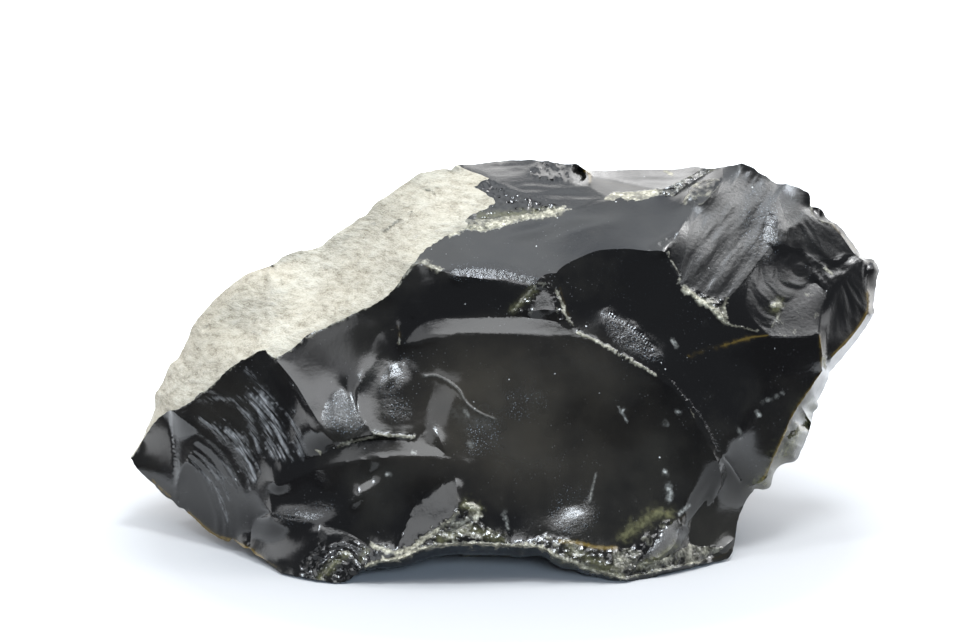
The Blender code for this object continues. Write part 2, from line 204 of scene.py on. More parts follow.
# under-side outline that replaces the crushed front edge in the middle of the foot line
BAND = [(714,561.8),(706,564.8),(700,566),(690,568.6),(678.5,571),(666.7,573.7),(658,576),(650,578),(640,580.5),(629.5,582),(618,582),(610,580),(600,577),(592,575.6),(584.6,574.4),(574.4,570),(564,568.6),(552.6,563.5),(547.4,559),(541,555.8),(533,556),(525.6,556.4),(515.4,557.7),(509,555),(500,554.5),(489.5,554),(470,553.8),(457.4,553.8),(447,554.8),(438,555.8),(428,557.7),(417.7,562),(408.7,566),(399.7,566.7),(389.5,568.6),(379,568),(374,570),(366.4,571),(358.7,573.7)]
BASE = [
# cortex boundary
(157,420,-3),(168,411,-7),(193,400,-9),(225,372,-11),(265,350,-13),(274,357,-14),(299,343,-15),(332,324,-16),(371,306,-17),(399,283,-17),(416,261,-16),(432,245,-13),(463,229,-9),(468,217,-6),(494,200,0),(489,178,5),(463,168,9),
(164,408,-4),(175,382,-1),(190,350,3),(215,318,6),(241,288,7),(262,271,8),
# left
(171,445,-8),(174,470,-8),(177,500,-6.5),(196,433,-10.5),(189,452,-10.5),(180,473,-9.5),
(288,384,-18),(309,421,-23),(325,455,-27),(299,389,-19),(320,424,-24),(338,449,-28),
(272,524,-27),(270,500,-27),(283,472,-28),(313,457,-28),(380,440,-31),(420,442,-33),(445,454,-35),(455,480,-36.5),(458,510,-37.5),
(295,518,-29),(335,528,-33),(367,546,-36),(393,553,-37.5),(421,540,-38),(443,524,-38),
(250,543,-20),(253,521,-23),(328,546,-34.5),(311,549,-33),(299,573,-32.5),
# main dish
(403,322,-24),(450,317,-26),(500,315,-27.5),(548,320,-29),(580,333,-30),(615,352,-31),(652,372,-32),(679,393,-32),(699,427,-31.5),(718,463,-29.5),(718,494,-28),(697,518,-28),(690,548,-28),
(399,343,-25),(380,357,-26.5),(358,390,-29),(358,410,-30),(374,434,-32),(398,436,-33),(431,429,-32.5),(441,441,-34),
(472,504,-37.5),(482,523,-38.5),(516,541,-39.3),(546,534,-39),(563,538,-38.5),(598,549,-37.5),(630,548,-36),(651,530,-34),(672,519,-32.5),(682,525,-31),
(377,334,-22.5),(369,352,-24.5),
# lens, upper band
(415,301,-21.5),(431,287,-19.5),(458,276.5,-20),(482,279,-21.5),(519,300,-26),(509,315,-27.5),(441,271,-17.5),(468,271,-19),(512,273,-21.5),(535,284,-24),
(544,280,-23.5),(560,296,-25.5),(572,328,-29.7),(531,318,-28.3),
(556,273,-22.5),(582,256,-20.5),(615,249,-19),(656,250,-17),
(480,230,-8.5),(517,221,-6),(560,211,-3),(600,203,-1),(627,199,0),(656,195,1),(684,202,-1),(500,217,-4.5),(548,212,-2.5),
(687,217,-4),(677,234,-9),(668,255,-17),(678,275,-18),(681,285,-19.5),
(528,195,2),(571,209,-2.5),(586,203,-0.5),(528,174,9),(558,182,6),(587,186,4),(592,176,7),
(626,183,7),(656,189.6,3.5),(606,197,1),(680,181,8),(700,170,13),
(672,197,1),(691,183,5),(713,170,11),(691,190,1.5),(706,180,5),(722,181,4),(703,203,-3),
(690,222,-7),(687,248,-12),(682,272,-17),(708,295,-16.5),(727,297,-14),(711,308,-17.5),(721,320,-16.5),
(781,191,8),(768,209,2),(762,228,-2),(765,247,-6.5),(782,213,3),(803,213,5),(778,228,-1),(797,224,2.5),
(784,244,-5),(803,248,-4),(820,259,-5),(840,256,-1),(860,257,4),(842,236,6),(852,251,5),
(832,268,-4),(820,282,-7.5),(828,291,-7.5),(806,257,-4.5),(812,268,-6.5),
(756,264,-9),(743,281,-11.5),(724,308,-15),(731,325,-15.5),(749,327,-14),(768,335,-12),
(776,317,-11),(797,295,-9.5),(816,283,-8),(779,256,-8),(793,252,-6),(752,277,-12.5),(746,303,-14.5),(758,325,-13),
(820,322,-8.5),(819,333,-8.5),(792,336,-10.5),(849,270,0),(862,280,3),(868,300,3),(862,323,0),(846,343,-2),(829,361,-5),
(821,352,-8),(822,371,-8),(805,396,-11),(790,421,-13),(776,451,-14),(766,477,-14),(748,486,-15.5),(826,372,-4),
(734,342,-17),(696,354,-21),(681,356,-22),
# bottom right
(738,520,-16),(731,527,-18.5),(713,541,-23),(700,546.5,-26),(723,548,-20.5),(701,561,-25),(668,555,-30),(645,567,-32.5),
(677,539,-30),(659,557,-32),(639,561,-34),(618,549,-37),(616,566,-36),
# crushed front edge
(444,539,-38.5),(490,539,-39.3),(446,531,-38.3),
(362,568,-36),(375,562,-37),(403,557,-38),(437,545,-38.7),(480,543,-39.4),(520,545,-39.4),(551,554,-38.3),(584,569,-36.3),(612,574.5,-35.5),(625,578.8,-34.7),(660,571,-31.2),(700,563,-25.5)]

# Regions between the ridges: a point inside, and inner depth points (u, v, mm) that dish it
REGIONS = {
 'D1': ((540,430),[(540,430,-27.5),(440,380,-25.5),(440,480,-31.5),(640,470,-28.5),(540,380,-26),(640,420,-28),(385,375,-25.2),(379,399,-26.2),(396,420,-28.8),(420,350,-24.7),(500,480,-30.5),(573,513,-33.5)]),
 'L1': ((365,490),[(365,500,-30.2),(310,490,-27.3),(420,500,-33),(365,465,-29.0)]),
 'S1': ((235,450),[(235,450,-14.2),(215,500,-11.8),(260,420,-14.8)]),
 'S2': ((320,370),[(320,370,-17.2),(345,400,-23.0),(390,315,-17.6)]),
 'U1': ((560,240),[(560,240,-9.5),(500,250,-11.5),(630,225,-8.5)]),
 'lens': ((465,300),[]),
 'R1': ((680,340),[(609,318,-23.6),(640,350,-25.6),(666,374,-25.2),(692,404,-24.2),(716,440,-22.0),(737,469,-18.6),(640,290,-19.5),(720,370,-19.2),(760,410,-16.0),(660,330,-22.6),(600,290,-22.5),(700,330,-19.8)]),
 'TR': ((725,240),[(725,240,-4.2),(745,200,3.0)]),
 'cortex': ((300,290),[(300,290,1.0),(380,250,-2.5),(240,330,0.0)]),
 'cstrip': ((226,295),[]), 'cstrip2': ((150,424),[]),
 'T1': ((500,172),[]), 'T2': ((572,194),[]), 'T3': ((640,178),[]),
 'TD': ((615,187),[]), 'lumpR': ((560,172),[]),
 'shards': ((500,203),[]), 'yel': ((480,225),[]), 'yel2': ((630,196),[]),
 'foot': ((345,563),[]), 'footL': ((290,545),[]), 'footM': ((334,536),[]),
 'LP': ((780,285),[]), 'LP2': ((742,305),[]), 'LPt': ((778,258),[]),
 'SB': ((710,302),[]), 'RF': ((848,310),[]), 'RF2': ((830,320),[]), 'DK': ((820,240),[]), 'LF': ((800,315),[]),
 'F2': ((790,201),[]), 'F3': ((789,220),[]), 'HL': ((830,272),[]), 'F2b': ((778,239),[]),
 'be': ((508,559),[]), 'cs': ((482,536),[]), 'cs2': ((585,553),[]), 'cs3': ((586,565),[]), 'cs1': ((458,519),[]), 'd2r': ((424,549),[]),
 'br5': ((655,542),[]), 'br3': ((682,552),[]), 'br3b': ((640,564),[]), 'br2': ((718,557),[]), 'brx': ((725,540),[]), 'D2': ((705,530),[]),
 're1': ((817,388),[]), 're2': ((810,408),[]), 're3': ((802,424),[]), 're4': ((792,441),[]), 're5': ((781,461),[]), 're6': ((764,483),[]),
 'tri': ((544,302),[]), 'triL': ((527,304),[]), 'triR': ((555,301),[]), 'triB': ((546,315),[]), 'triT': ((550,280),[]),
 'lensL': ((425,280),[]), 'lensR': ((506,280),[]), 'lip': ((375,440),[]), 'lip2': ((431,440),[]),
 'tip': ((158,458),[]), 'tri0': ((560,284),[]), 'cnr': ((700,183),[]), 'cnr2': ((705,191),[]), 'cnr3': ((683,183),[]),
 'G2': ((872,290),[]), 'G3': ((849,344),[]), 'F4': ((834,228),[]), 'rib': ((682,242),[]),
}
# crust cracks and pits: line, half width, depth mm
CRACKS = [([(385,233),(391,228),(396,224),(400,221)],1.6,0.9),([(407,219),(411,213)],1.3,0.6),([(426,191),(430,192),(434,196)],1.5,0.8),
 ([(450,207),(453,209)],1.2,0.6),([(204,330),(207,327)],2.0,1.0),([(272,272),(277.6,277.7),(281,284)],1.4,0.7),([(219,401),(232,396)],1.0,0.4),
 ([(318,349),(330,346),(338,341)],1.0,0.35),([(208,392),(216,385),(222,378)],1.2,0.5),([(345,262),(356,258),(365,250)],1.0,0.35),([(300,300),(312,297),(324,290)],1.0,0.3),
 ([(250,322),(262,318),(276,317)],0.9,0.3),([(421,190),(440,189)],0.8,0.3)]
# rough streaks in the left scar: line, half width, strength
HACKLES = [([(200,418),(209,424),(216,431),(222,437)],2.0,0.7),([(214,428),(220,435),(226,442)],2.2,0.7),([(227,432),(237,440),(245,454),(250,466),(253,478)],4.2,0.9),
 ([(250,396),(259,411),(267,430),(273,455)],3.6,0.75),([(261,396),(270,412),(279,432),(285,456)],4.0,0.9),([(239,402),(248,416),(254,434),(258,452)],3.0,0.5),
 ([(290,413),(296,430),(301,453)],2.6,0.7),([(246,370),(262,388),(274,400)],1.6,0.35),([(206,400),(222,398),(240,402)],1.6,0.4),
 ([(222,462),(231,472),(240,486)],1.8,0.35),([(190,462),(200,470),(212,484),(222,502),(227,522)],1.6,0.5),([(197,460),(209,468),(222,482),(230,500)],1.3,0.45),
 ([(204,460),(217,470),(230,486)],1.2,0.35)]
# thin ribs that stand up: line, half width, height mm
RIBS = [([(425,376),(435.6,375.5),(443,378.7),(452,384),(460,391.5),(466,402),(476.7,411),(487,416),(494.6,418.5)],1.7,0.16),
 ([(596,473),(593,488),(589.7,502.6)],1.2,0.14),([(725,458),(733,468),(741,480)],1.3,-0.35),([(172,414),(173,432),(174,452),(176,475),(177,498)],1.2,0.15),
 ([(463,452),(467,466),(461,497)],1.2,0.04),([(502,497),(505,510),(510,533)],1.4,0.16)]
# regions with crumpled relief: names, pitch, height mm, crushed-glass share
CRINKLED = [(('shards',),0.13,0.7,0.10),(('lumpR',),0.17,1.0,0.10),(('yel','yel2'),0.2,0.6,0.6),(('cs','cs2','cs3','cs1'),0.15,0.5,0.26),
 (('SB',),0.18,0.6,0.35),(('triT',),0.25,0.15,0.05),(('br3b',),0.16,0.5,0.35),(('d2r',),0.14,0.3,0.15),(('HL',),0.10,0.3,0.0),
 (('re1','re2','re3','re4','re5','re6'),0.10,0.6,0.15),(('cnr3',),0.2,0.5,0.35),(('cnr',),0.18,0.4,0.3),(('triL','triR'),0.14,0.5,0.2)]
CRUSHED = [(('F3','F2'),0.12),(('LF',),0.16)]
CRUSH_LINES = [([(450,234),(463,228),(480,228),(498,225),(515,219),(540,215),(562,210)],3.0,0.9),([(374,434),(384,435),(398,436),(413,437)],2.6,0.6),
 ([(338,447),(350,442),(366,438),(380,437)],2.2,0.45),([(372,545),(386,550),(396,552),(410,548),(424,540),(436,531),(448,522),(458,512)],3.0,0.7),
 ([(366,566),(378,562),(400,558),(415,551),(430,547),(460,544),(500,545),(540,547),(553,555)],2.4,0.8),([(556,556),(575,563),(595,571),(612,575),(625,578)],2.6,0.7),
 ([(625,578),(650,573),(680,566),(700,562)],1.6,0.5),([(402,271),(410,266),(420,262),(430,265),(440,270)],3.4,0.5),([(684,289),(692,294),(702,301),(712,308),(720,317),(724,321)],3.0,0.85),
 ([(724,303),(726,315),(731,325),(745,328),(757,331)],1.8,0.5),([(513,312),(520,302),(528,294),(536,287)],2.4,0.5),([(556,290),(561,301),(566,316),(574,326)],2.2,0.55),
 ([(677,284),(680,276),(672,262),(668,252)],1.6,0.4),([(466,505),(474,506),(479,512),(474,519)],3.0,0.7),([(547,538),(556,539),(568,541)],2.5,0.4),
 ([(823,357),(826,368)],1.5,0.8),([(268,352),(280,368),(292,382)],1.2,0.2),([(168,411),(190,402),(205,391),(222,377),(240,362),(262,350)],1.8,0.35),
 ([(275,357),(299,343),(332,324),(366,308),(396,288),(411,268)],2.2,0.4),([(652,510),(664,511),(672,518)],2.4,0.4),([(618,553),(624,570)],2.4,0.5),
 ([(684,203),(689,194),(694,186),(706,180),(720,180)],1.8,0.5),([(811,205),(812,213),(820,220),(833,224)],1.4,0.4),([(860,257),(868,262),(877,262)],1.6,0.4),
 ([(772,326),(777,317),(786,305)],1.4,0.35),([(773,306),(779,304)],3.0,0.9),([(824,268),(832,274)],1.6,0.6),([(578,333),(597,341),(615,351),(636,363),(655,375)],1.7,0.75),
 ([(676,392),(688,404),(694,418)],1.0,0.3),([(316,450),(321,453)],1.6,0.9),([(664,171),(672,174)],2.5,0.6),([(392,330),(399,333),(399,345)],1.6,0.3),([(318,573),(330,560),(344,552),(352,556)],1.8,0.4)]
# white flecks and scratches on the glass
WHITES = [([(425,376),(435.6,375.5),(443,378.7),(452,384),(460,391.5),(466,402),(476.7,411),(487,416),(494.6,418.5)],0.9,0.15),([(455,412),(470,420),(488,424)],6.0,0.03),([(668,485),(669.5,491),(670,497),(668,501)],1.4,0.8),([(665,471.5),(665.5,472)],1.5,1.0),([(596,474),(592,490),(590,502)],0.9,0.28),([(761,404),(772,398),(783,393)],0.7,0.35),
 ([(619,408),(627,421)],0.8,0.5),([(664,421),(666,424)],1.0,0.7),([(465,411),(468,414)],1.2,0.7),([(757,413),(759,416)],1.2,0.7),([(677,411),(679,413)],1.0,0.7),
 ([(621,412),(624,409)],1.0,0.6),([(504,512),(508,528)],1.0,0.4),([(679,514),(690,505)],1.3,0.5),([(738,428),(742,440)],0.8,0.3),
 ([(470,443),(471,444)],1.2,0.7),([(413,452),(415,453)],1.2,0.7),([(387,474),(388,475)],1.4,0.8),([(672,338),(676,348)],0.8,0.5),([(703,320),(706,326)],0.8,0.4)]
AMBERS = [([(152,480),(160,488),(170,497)],2.2,0.54),([(188,513),(202,526),(216,536),(232,541),(248,549),(262,558)],2.7,0.72),([(196,521),(226,541),(256,555),(276,567)],1.3,0.43),
 ([(560,541),(578,543),(598,547.5),(616,548)],2.5,0.68),([(768,335),(748,338),(724,345),(704,350),(688,357)],1.2,0.58),([(820,336),(821,356),(821,372)],1.5,0.54),
 ([(821,374),(809,391),(797,407),(787,429),(777,451),(769,468),(762,480)],1.8,0.54),([(868,292),(868,308),(860,325),(845,343),(832,356)],2.5,0.58),([(583,168),(589,174),(590,181)],2.0,0.65),
 ([(596,180),(620,185),(645,189)],1.5,0.22),([(832,224),(845,238),(857,252)],1.2,0.50),([(652,511),(664,511),(671,517)],1.1,0.43),([(560,288),(564,302),(569,316)],1.0,0.32),
 ([(398,326),(400,338)],1.1,0.36),([(410,266),(420,263),(430,268)],1.5,0.36),([(700,560),(722,556),(733,545)],1.3,0.25),([(680,520),(688,512)],1.0,0.29)]
OLIVES = [([(760,488),(772,476),(784,455),(796,440),(806,420),(812,404)],7.0,0.55),([(466,505),(476,510)],4.0,0.8),([(624,536),(640,524),(655,513),(668,514)],4.5,0.6),
 ([(570,548),(590,560),(612,570)],4.0,0.4),([(320,578),(333,565),(345,555)],3.0,0.5),([(360,560),(366,550)],3.0,0.3),([(440,540),(470,530),(500,540)],4.0,0.4),
 ([(553,560),(590,568),(622,576)],2.5,0.5),([(512,310),(524,300),(534,290)],3.0,0.4),([(775,309),(778,303)],4.0,0.6),([(480,216),(520,214),(556,211)],3.5,0.45),([(676,545),(660,556),(640,566)],3.5,0.35)]
FINE_STROKES = [s[0] for s in RIBS[:3]] + [WHITES[3][0], WHITES[6][0]]

# ------------------------------------------------------------------ the unseen sides
BACK_POINTS = dict(
 A0=(-63,17,34),A1=(-50,27,44),A2=(-29,36,52),A3=(-4,40,57),A4=(18,41,54),A5=(40,35,52),A6=(58,24,46),A7=(66,14,38),
 B0=(-62,12,17),B1=(-47,24,15),B2=(-24,37,22),B3=(3,42.3,25),B4=(29,38,20),B5=(48,24,17),B6=(56,8,20),
 C0=(-46,-10,0),C1=(-41,10,0),C2=(-21,25,0),C3=(8,28,0),C4=(32,19,0),C5=(40,0,0),C6=(38,-17,0),
 F1=(-36,-30.5,0),F2=(-27,-33.0,0),F3=(-17,-26,0),F4=(-8,-17,0),F5=(8,-16,0),F6=(17,-26,0),F7=(24,-31.0,0),F8=(31,-27,0),
 M1=(-36,31,33),M2=(-8,41.3,40),M3=(20,41.5,36),M4=(44,32,33))
BACK_LINES = [
 (((160,384),'A0','A1','A2','A3','A4','A5','A6','A7',(860,336)),1.3),
 (((137,468),'B0','B1','B2','B3','B4','B5','B6',(806,440)),1.6),
 (('A1','B1'),1.6),(('A2','M1','B2'),1.6),(('A3','B3'),1.6),(('A4','M3','B4'),1.6),(('A6','M4','B5'),1.8),
 (((284,256),'A2'),1.2),(((455,165),'A3'),1.0),(((605,171),'A4'),1.0),(((742,163),'A5'),1.0),(((810,195),'A6'),1.0),(((875,300),'A7'),0.8),
 (('B0','C1'),1.2),(('B2','C2'),1.2),(('B3','C3'),1.2),(('B4','C4'),1.2),(('B5','C5'),1.2),
 (('C0','C1','C2','C3','C4','C5','C6'),0.9),
 (('C0','F1','F2','F3','F4','F5','F6','F7','F8','C6'),0.7),
 (((206,530),'C0'),1.0),(((300,576),'F1'),0.3),(((345,582),'F2'),0.3),(((629.5,582),'F7'),0.3),(((714,561.8),'C6'),0.5),(((754.5,489.3),'C5'),0.8),
 (((470,553.8),'F4'),0.5),
 (('M1','M2','M3'),1.8)]
BACK_SPACING = 0.72
# a point inside each back region and inner points (x, y, z mm) that dish it
BACK_REGIONS = {
 'rest': ((0,5,0),[]),
 'ctl': ((-58,17,45),[]), 'ct1': ((-36,24,58),[(-38,24,58.5)]), 'ct2': ((-14,26,66),[]), 'top': ((7,27,66),[(7,25.5,65.5)]), 'topr': ((33,27,63),[(32,24.5,62.0)]),
 'rt': ((52,20,61),[(52,19.0,60)]), 'rt2': ((67,13,52),[]), 'rl': ((60,12,30),[(60,11.0,30)]),
 's0': ((-60,16,27),[(-60,13.5,26)]), 's1': ((-43,28,30),[(-42,26.0,31)]), 's1b': ((-24,37,35),[]), 's2': ((-12,40,44),[(-14,38.0,47)]), 's2b': ((-8,39,30),[(-10,37.8,31)]),
 's3': ((8,41,46),[(8,39.2,46)]), 's3b': ((12,40,31),[(14,39.5,30)]), 's4': ((36,36,38),[(34,34.6,41)]), 's4b': ((40,32,26),[(40,30.5,26)]), 's5': ((56,20,33),[]),
 'u1': ((-42,20,8),[(-40,19.5,9)]), 'u2': ((-16,30,10),[(-14,29.2,11)]), 'u3': ((14,31,10),[(16,29.5,11)]), 'u4': ((38,22,9),[(38,19.5,9)]), 'u5': ((48,5,10),[(49,3.0,11)]),
 'ul': ((-56,2,7),[(-56,2,8.5)]), 'arch': ((0,-24,2.5),[]),
}
BACK_CRUST = ('ctl', 'ct1', 'ct2')
# ripples: region, striking point, wavelength mm, height mm, hackle strength
BACK_RIPPLES = [('s0',(-74,4,18),3.4,0.10,0.5),('s1',(-50,27,44),4.2,0.14,0.9),('s1b',(-29,36,52),3.6,0.12,0.6),('s2',(-29,36,52),4.6,0.15,0.8),('s2b',(-24,37,22),3.8,0.12,0.6),
 ('s3',(-4,40,57),4.0,0.13,0.7),('s3b',(3,42,25),3.4,0.10,0.5),('s4',(40,35,52),5.0,0.16,0.9),('s4b',(29,38,20),3.8,0.12,0.6),('s5',(66,14,38),3.4,0.1,0.5),
 ('top',(-4,40,57),4.4,0.12,0.5),('topr',(40,35,52),5.2,0.16,0.8),('rt',(58,24,46),4.4,0.13,0.6),('rt2',(66,14,38),3.4,0.10,0.4),('rl',(66,14,38),4.6,0.15,0.8),
 ('u1',(-41,10,0),3.8,0.12,0.5),('u2',(-24,37,22),4.4,0.12,0.5),('u3',(29,38,20),4.4,0.14,0.6),('u4',(48,24,17),4.0,0.13,0.6),('u5',(56,8,20),3.8,0.12,0.5),('ul',(-62,12,17),4.6,0.14,0.6),
 ('arch',(0,-17,0),3.6,0.12,0.3)]

KEY_N = (0.10, -0.72, 0.68)
UPF_N = (0.0, -0.80, 0.60)
SL_N = (-0.33, -0.74, 0.58)
RT_N = (0.35, -0.58, 0.73)
# turned faces: u, v, axis angle, half length, half width, facing, share
TURNS = [(395,369,120,15,6.5,KEY_N,1.0), (573.7,513,20,8,7,KEY_N,0.7), (366,486,-56,18,5.5,UPF_N,1.0), (304,514,-8,20,7,SL_N,1.0), (342,408,105,22,12,KEY_N,1.0),          (559,229,-8,40,7,(0.05,-0.55,0.84),0.6)]
TURN_LINES = [([(455,272.5),(480,271.5),(505,274),(530,280.5)],3.6,KEY_N,1.0), ([(652,249),(664,241),(675,235)],3.2,KEY_N,0.8), ([(604,311),(617,319),(631,328),(645,340),(657,353)],3.4,KEY_N,1.0),
              ([(634,346),(655,365),(678,388),(697,411),(711,434),(720,456)],3.0,KEY_N,0.8), ([(722,458),(716,480),(706,503),(692,524)],2.6,KEY_N,0.15)]
# frosted patches: rougher, bumpier glass, whose colour also carries painted blue-white glints
SPARKS = [([(341,390),(332,399),(324,420),(330,432),(352,434),(364,427),(357,416),(352,405)],1.0), ([(384,362),(412,352),(418,362),(398,392),(384,398)],0.25),
          ([(604,314),(628,325),(664,360),(640,356),(612,336)],0.6), ([(745,190),(772,192),(782,236),(765,262),(742,238)],0.6), ([(278,508),(322,501),(340,508),(300,524),(276,520)],0.3),
          ([(452,266),(500,266),(536,276),(536,286),(500,280),(452,278)],0.6),
          ([(506,396),(524,392),(543,398),(540,414),(522,419),(508,412)],0.6), ([(462,430),(480,420),(500,424),(496,444),(470,454)],0.6), ([(552,494),(572,486),(592,496),(596,522),(574,536),(552,526)],0.4),
          ([(384,400),(396,396),(410,404),(408,420),(388,418)],0.6), ([(380,378),(392,366),(404,374),(396,396),(384,398)],0.5)]

# which way the scars face: region: ([(u, v, outward direction)…], hollowness)
UPF_N = (0.0, -0.80, 0.60)
RL_N = (0.553, -0.775, 0.304)
LL_N = (-0.58, -0.69, 0.433)
FACING = {
 'D1': ([(402,354,(.10,-.78,.62)),(391,370,KEY_N,9.0),(384,386,(.12,-.73,.67),9.0),(382,400,(.14,-.74,.66),8.0),(458,470,(.22,-.96,.17),6.0),(464,482,(.25,-.94,.20),5.0),(404,398,(.42,-.86,.28)),(414,362,(.20,-.93,.30)),(573,513,KEY_N),(556,505,(.06,-.90,.42)),(590,507,(.0,-.90,.42)),(573,497,(.05,-.93,.36)),(573,530,(.0,-.85,.52)),(440,345,(.04,-.90,.42)),(480,343,(.02,-.90,.42)),(520,343,(.0,-.90,.42)),(562,344,(.0,-.91,.40)),(450,358,(.03,-.96,.27)),(500,358,(.0,-.965,.26)),(550,358,(.0,-.97,.24)),(440,400,(.22,-.96,.17)),(540,365,(.0,-.99,.08)),(620,375,(-.08,-.99,.08)),(540,430,(.03,-.99,.12)),
         (640,420,(-.12,-.985,.10)),(690,458,(-.16,-.98,.13),3.0),(673,462,(-.12,-.985,.12),3.0),(655,474,(-.12,-.985,.12),2.0),(700,500,(-.3,-.94,.15)),(470,460,(.30,-.94,.16)),(480,505,(.25,-.92,.3)),(640,500,(-.18,-.93,.32))], 0.0),
 'L1': ([(285,486,(-.32,-.94,.12),1.5),(330,484,(-.26,-.96,.08),1.5),(400,478,(-.12,-.985,.08),1.0),(430,480,(-.05,-.98,.10),1.0),(345,500,(-.24,-.95,.16),1.5),(385,505,(-.15,-.97,.14),1.0),(330,532,(-.25,-.93,.22),1.0),(375,535,(-.1,-.96,.20),0.6),(302,502,(-.28,-.90,.33),1.0),(446,480,(-.05,-.98,.10),3.0),(292,511,(-.36,-.76,.54),9.0),(304,512,SL_N,10.0),(317,511,(-.30,-.77,.56),9.0),(300,519,(-.34,-.75,.56),7.0)], 0.0),
 'S1': ([(190,430,(-.42,-.9,.12)),(225,470,(-.42,-.9,.15)),(235,520,(-.40,-.91,.08)),(265,400,(-.36,-.92,.15)),(300,440,(-.30,-.93,.22)),(262,480,(-.45,-.88,.12))], 0.0),
 'tip': ([(158,458,(-.62,-.74,.26),5.0)], 0.0),
 'S2': ([(290,362,(.05,-.82,.58)),(310,380,(.05,-.80,.60)),(330,410,(.05,-.76,.65)),(350,330,(-.12,-.88,.46)),(390,300,(-.05,-.93,.36)),(385,335,(-.2,-.9,.38)),(350,380,(-.15,-.85,.5))], 0.0),
 'U1': ([(480,255,(.05,-.42,.905)),(560,240,(-.08,-.38,.92)),(640,225,(.02,-.38,.92)),(600,215,(-.02,-.36,.93)),(450,262,(-.1,-.5,.86))], 0.0),
 'lens': ([(470,297,(.0,-.93,.36),2.0)], 0.0003),
 'tri': ([(544,302,(0,-.82,.57),8.0)], 0.0), 'triB': ([(546,315,(0,-.98,.15))], 0.0),
 'R1': ([(606,312,KEY_N,8.0),(618,320,KEY_N,8.0),(631,329,KEY_N,8.0),(645,341,KEY_N,8.0),(656,352,KEY_N,6.0),(628,311,(.2,-.95,.15)),(648,325,(.2,-.95,.15)),(620,275,(.20,-.97,.10)),(650,270,(.12,-.985,.06)),(618,262,(.15,-.98,.08)),(600,300,(.40,-.9,.15)),(700,330,(.18,-.975,.10)),(760,400,(.14,-.985,.10)),(720,370,(.16,-.98,.10)),(640,352,(.25,-.80,.55)),(697,412,(.33,-.82,.46)),
         (722,450,(.34,-.86,.36)),(665,340,(.2,-.95,.22)),(740,440,(.2,-.97,.14)),(610,325,(.3,-.83,.48)),(770,360,(.12,-.985,.12),1.5),(795,350,(.22,-.97,.10),4.0),(806,372,(.22,-.97,.10),3.0),(790,400,(.25,-.96,.08),2.0),(705,530,(.22,-.93,.28),3.0),(722,505,(.24,-.95,.18),3.0),(722,484,(.20,-.97,.13),4.0),(712,494,(.12,-.98,.13),4.0),(706,468,(.05,-.985,.13),3.0)], 0.0),
 'TR': ([(700,262,(.46,-.78,.42)),(715,245,(.48,-.74,.47)),(735,225,(.46,-.68,.57)),(768,215,(.39,-.57,.73)),(770,245,(.40,-.60,.69)),(735,182,(.44,-.72,.54)),(748,200,(.40,-.60,.69)),(700,200,(.40,-.85,.35)),(700,285,(.42,-.76,.49))], 0.0),
 'F2': ([(790,201,(.45,-.62,.64))], 0.0), 'F3': ([(789,220,(.42,-.60,.68))], 0.0),
 'DK': ([(778,239,(.46,-.64,.60)),(834,228,(.65,-.56,.50)),(812,236,(.42,-.80,.42)),(835,250,(.56,-.68,.46)),(805,252,(.40,-.86,.30)),(850,262,(.6,-.62,.5))], 0.0), 'LP': ([(782,292,(.40,-.62,.68)),(792,276,(.40,-.62,.68)),(770,285,(.42,-.66,.62)),(800,262,(.36,-.76,.54)),(765,300,(.45,-.78,.42)),(778,256,(.36,-.78,.50))], 0.0), 'LP2': ([(742,305,(.35,-.86,.36))], 0.0), 
 'LF': ([(800,315,(.36,-.62,.70))], 0.0), 'HL': ([(830,272,(.45,-.72,.53))], 0.0), 'RF': ([(855,318,(.64,-.76,.05)),(846,290,(.62,-.75,.22)),(832,325,(.56,-.76,.32)),(838,345,(.60,-.76,.22))], 0.0),
 'rib': ([(682,242,(.25,-.93,.28),4.0)], 0.0), 'cnr3': ([(683,183,(.0,-.85,.52))], 0.0),
 'brx': ([(725,540,(.2,-.72,.66))], 0.0), 'br2': ([(718,557,(.25,-.9,.35))], 0.0),
 'footL': ([(290,545,(-.25,-.93,.26))], 0.0), 'foot': ([(345,563,(.0,-.92,.38))], 0.0), 'footM': ([(334,536,(.0,-.85,.52))], 0.0),
 'T1': ([(500,172,(.0,-.20,.98)),(545,185,(.0,-.27,.96)),(590,196,(.0,-.34,.94)),(615,200,(.0,-.34,.94))], 0.0), 'cs': ([(482,536,(.0,-.8,.6))], 0.0), 'cs2': ([(585,553,(.0,-.84,.54)),(620,558,(.0,-.86,.5)),(655,542,(.12,-.90,.42)),(680,528,(.2,-.86,.46))], 0.0),
}
TAB = [(636,563),(652,545),(668,524),(690,507),(706,511),(703,528),(686,546),(660,560)]
FACING_PATCH = [
 ('cs2', TAB, (.03,-.82,.57)),
 ('D1', [(402,346),(412,331),(425,321),(450,317),(490,316),(530,317),(560,320),(580,325),(600,340),(585,340),(565,335.5),(540,334.5),(500,334.5),(460,334),(432,337),(416,343)], UPF_N),
 ('L1', [(272,476),(290,462),(310,452),(340,444),(370,438),(400,437),(425,439),(452,450),(449,459.5),(425,456.5),(400,456),(375,458),(345,462),(315,469),(292,478),(277,488)], UPF_N),
 ('L1', [(397,549),(406,527),(416,506),(428,495),(442,485),(456,478),(462,500),(450,520),(425,545)], LL_N),
]

# ------------------------------------------------------------------ the eye
ELEV = math.radians(12.0)
RANGE = 544.0                    # mm
FPX = 967 * 100 / 36.0           # focal length in picture units
TARGET = np.array([-4.15, 0.0, 44.6])
FW = np.array([0, math.cos(ELEV), -math.sin(ELEV)])
UP = np.array([0, math.sin(ELEV), math.cos(ELEV)])
RT = np.array([1.0, 0, 0])
EYE = TARGET - RANGE * FW


def unproj(u, v, depth):
    r = FW[None, :] + ((u - 483.5) / FPX)[:, None] * RT[None, :] + ((321 - v) / FPX)[:, None] * UP[None, :]
    t = (depth - EYE[1]) / r[:, 1]
    return EYE[None, :] + t[:, None] * r


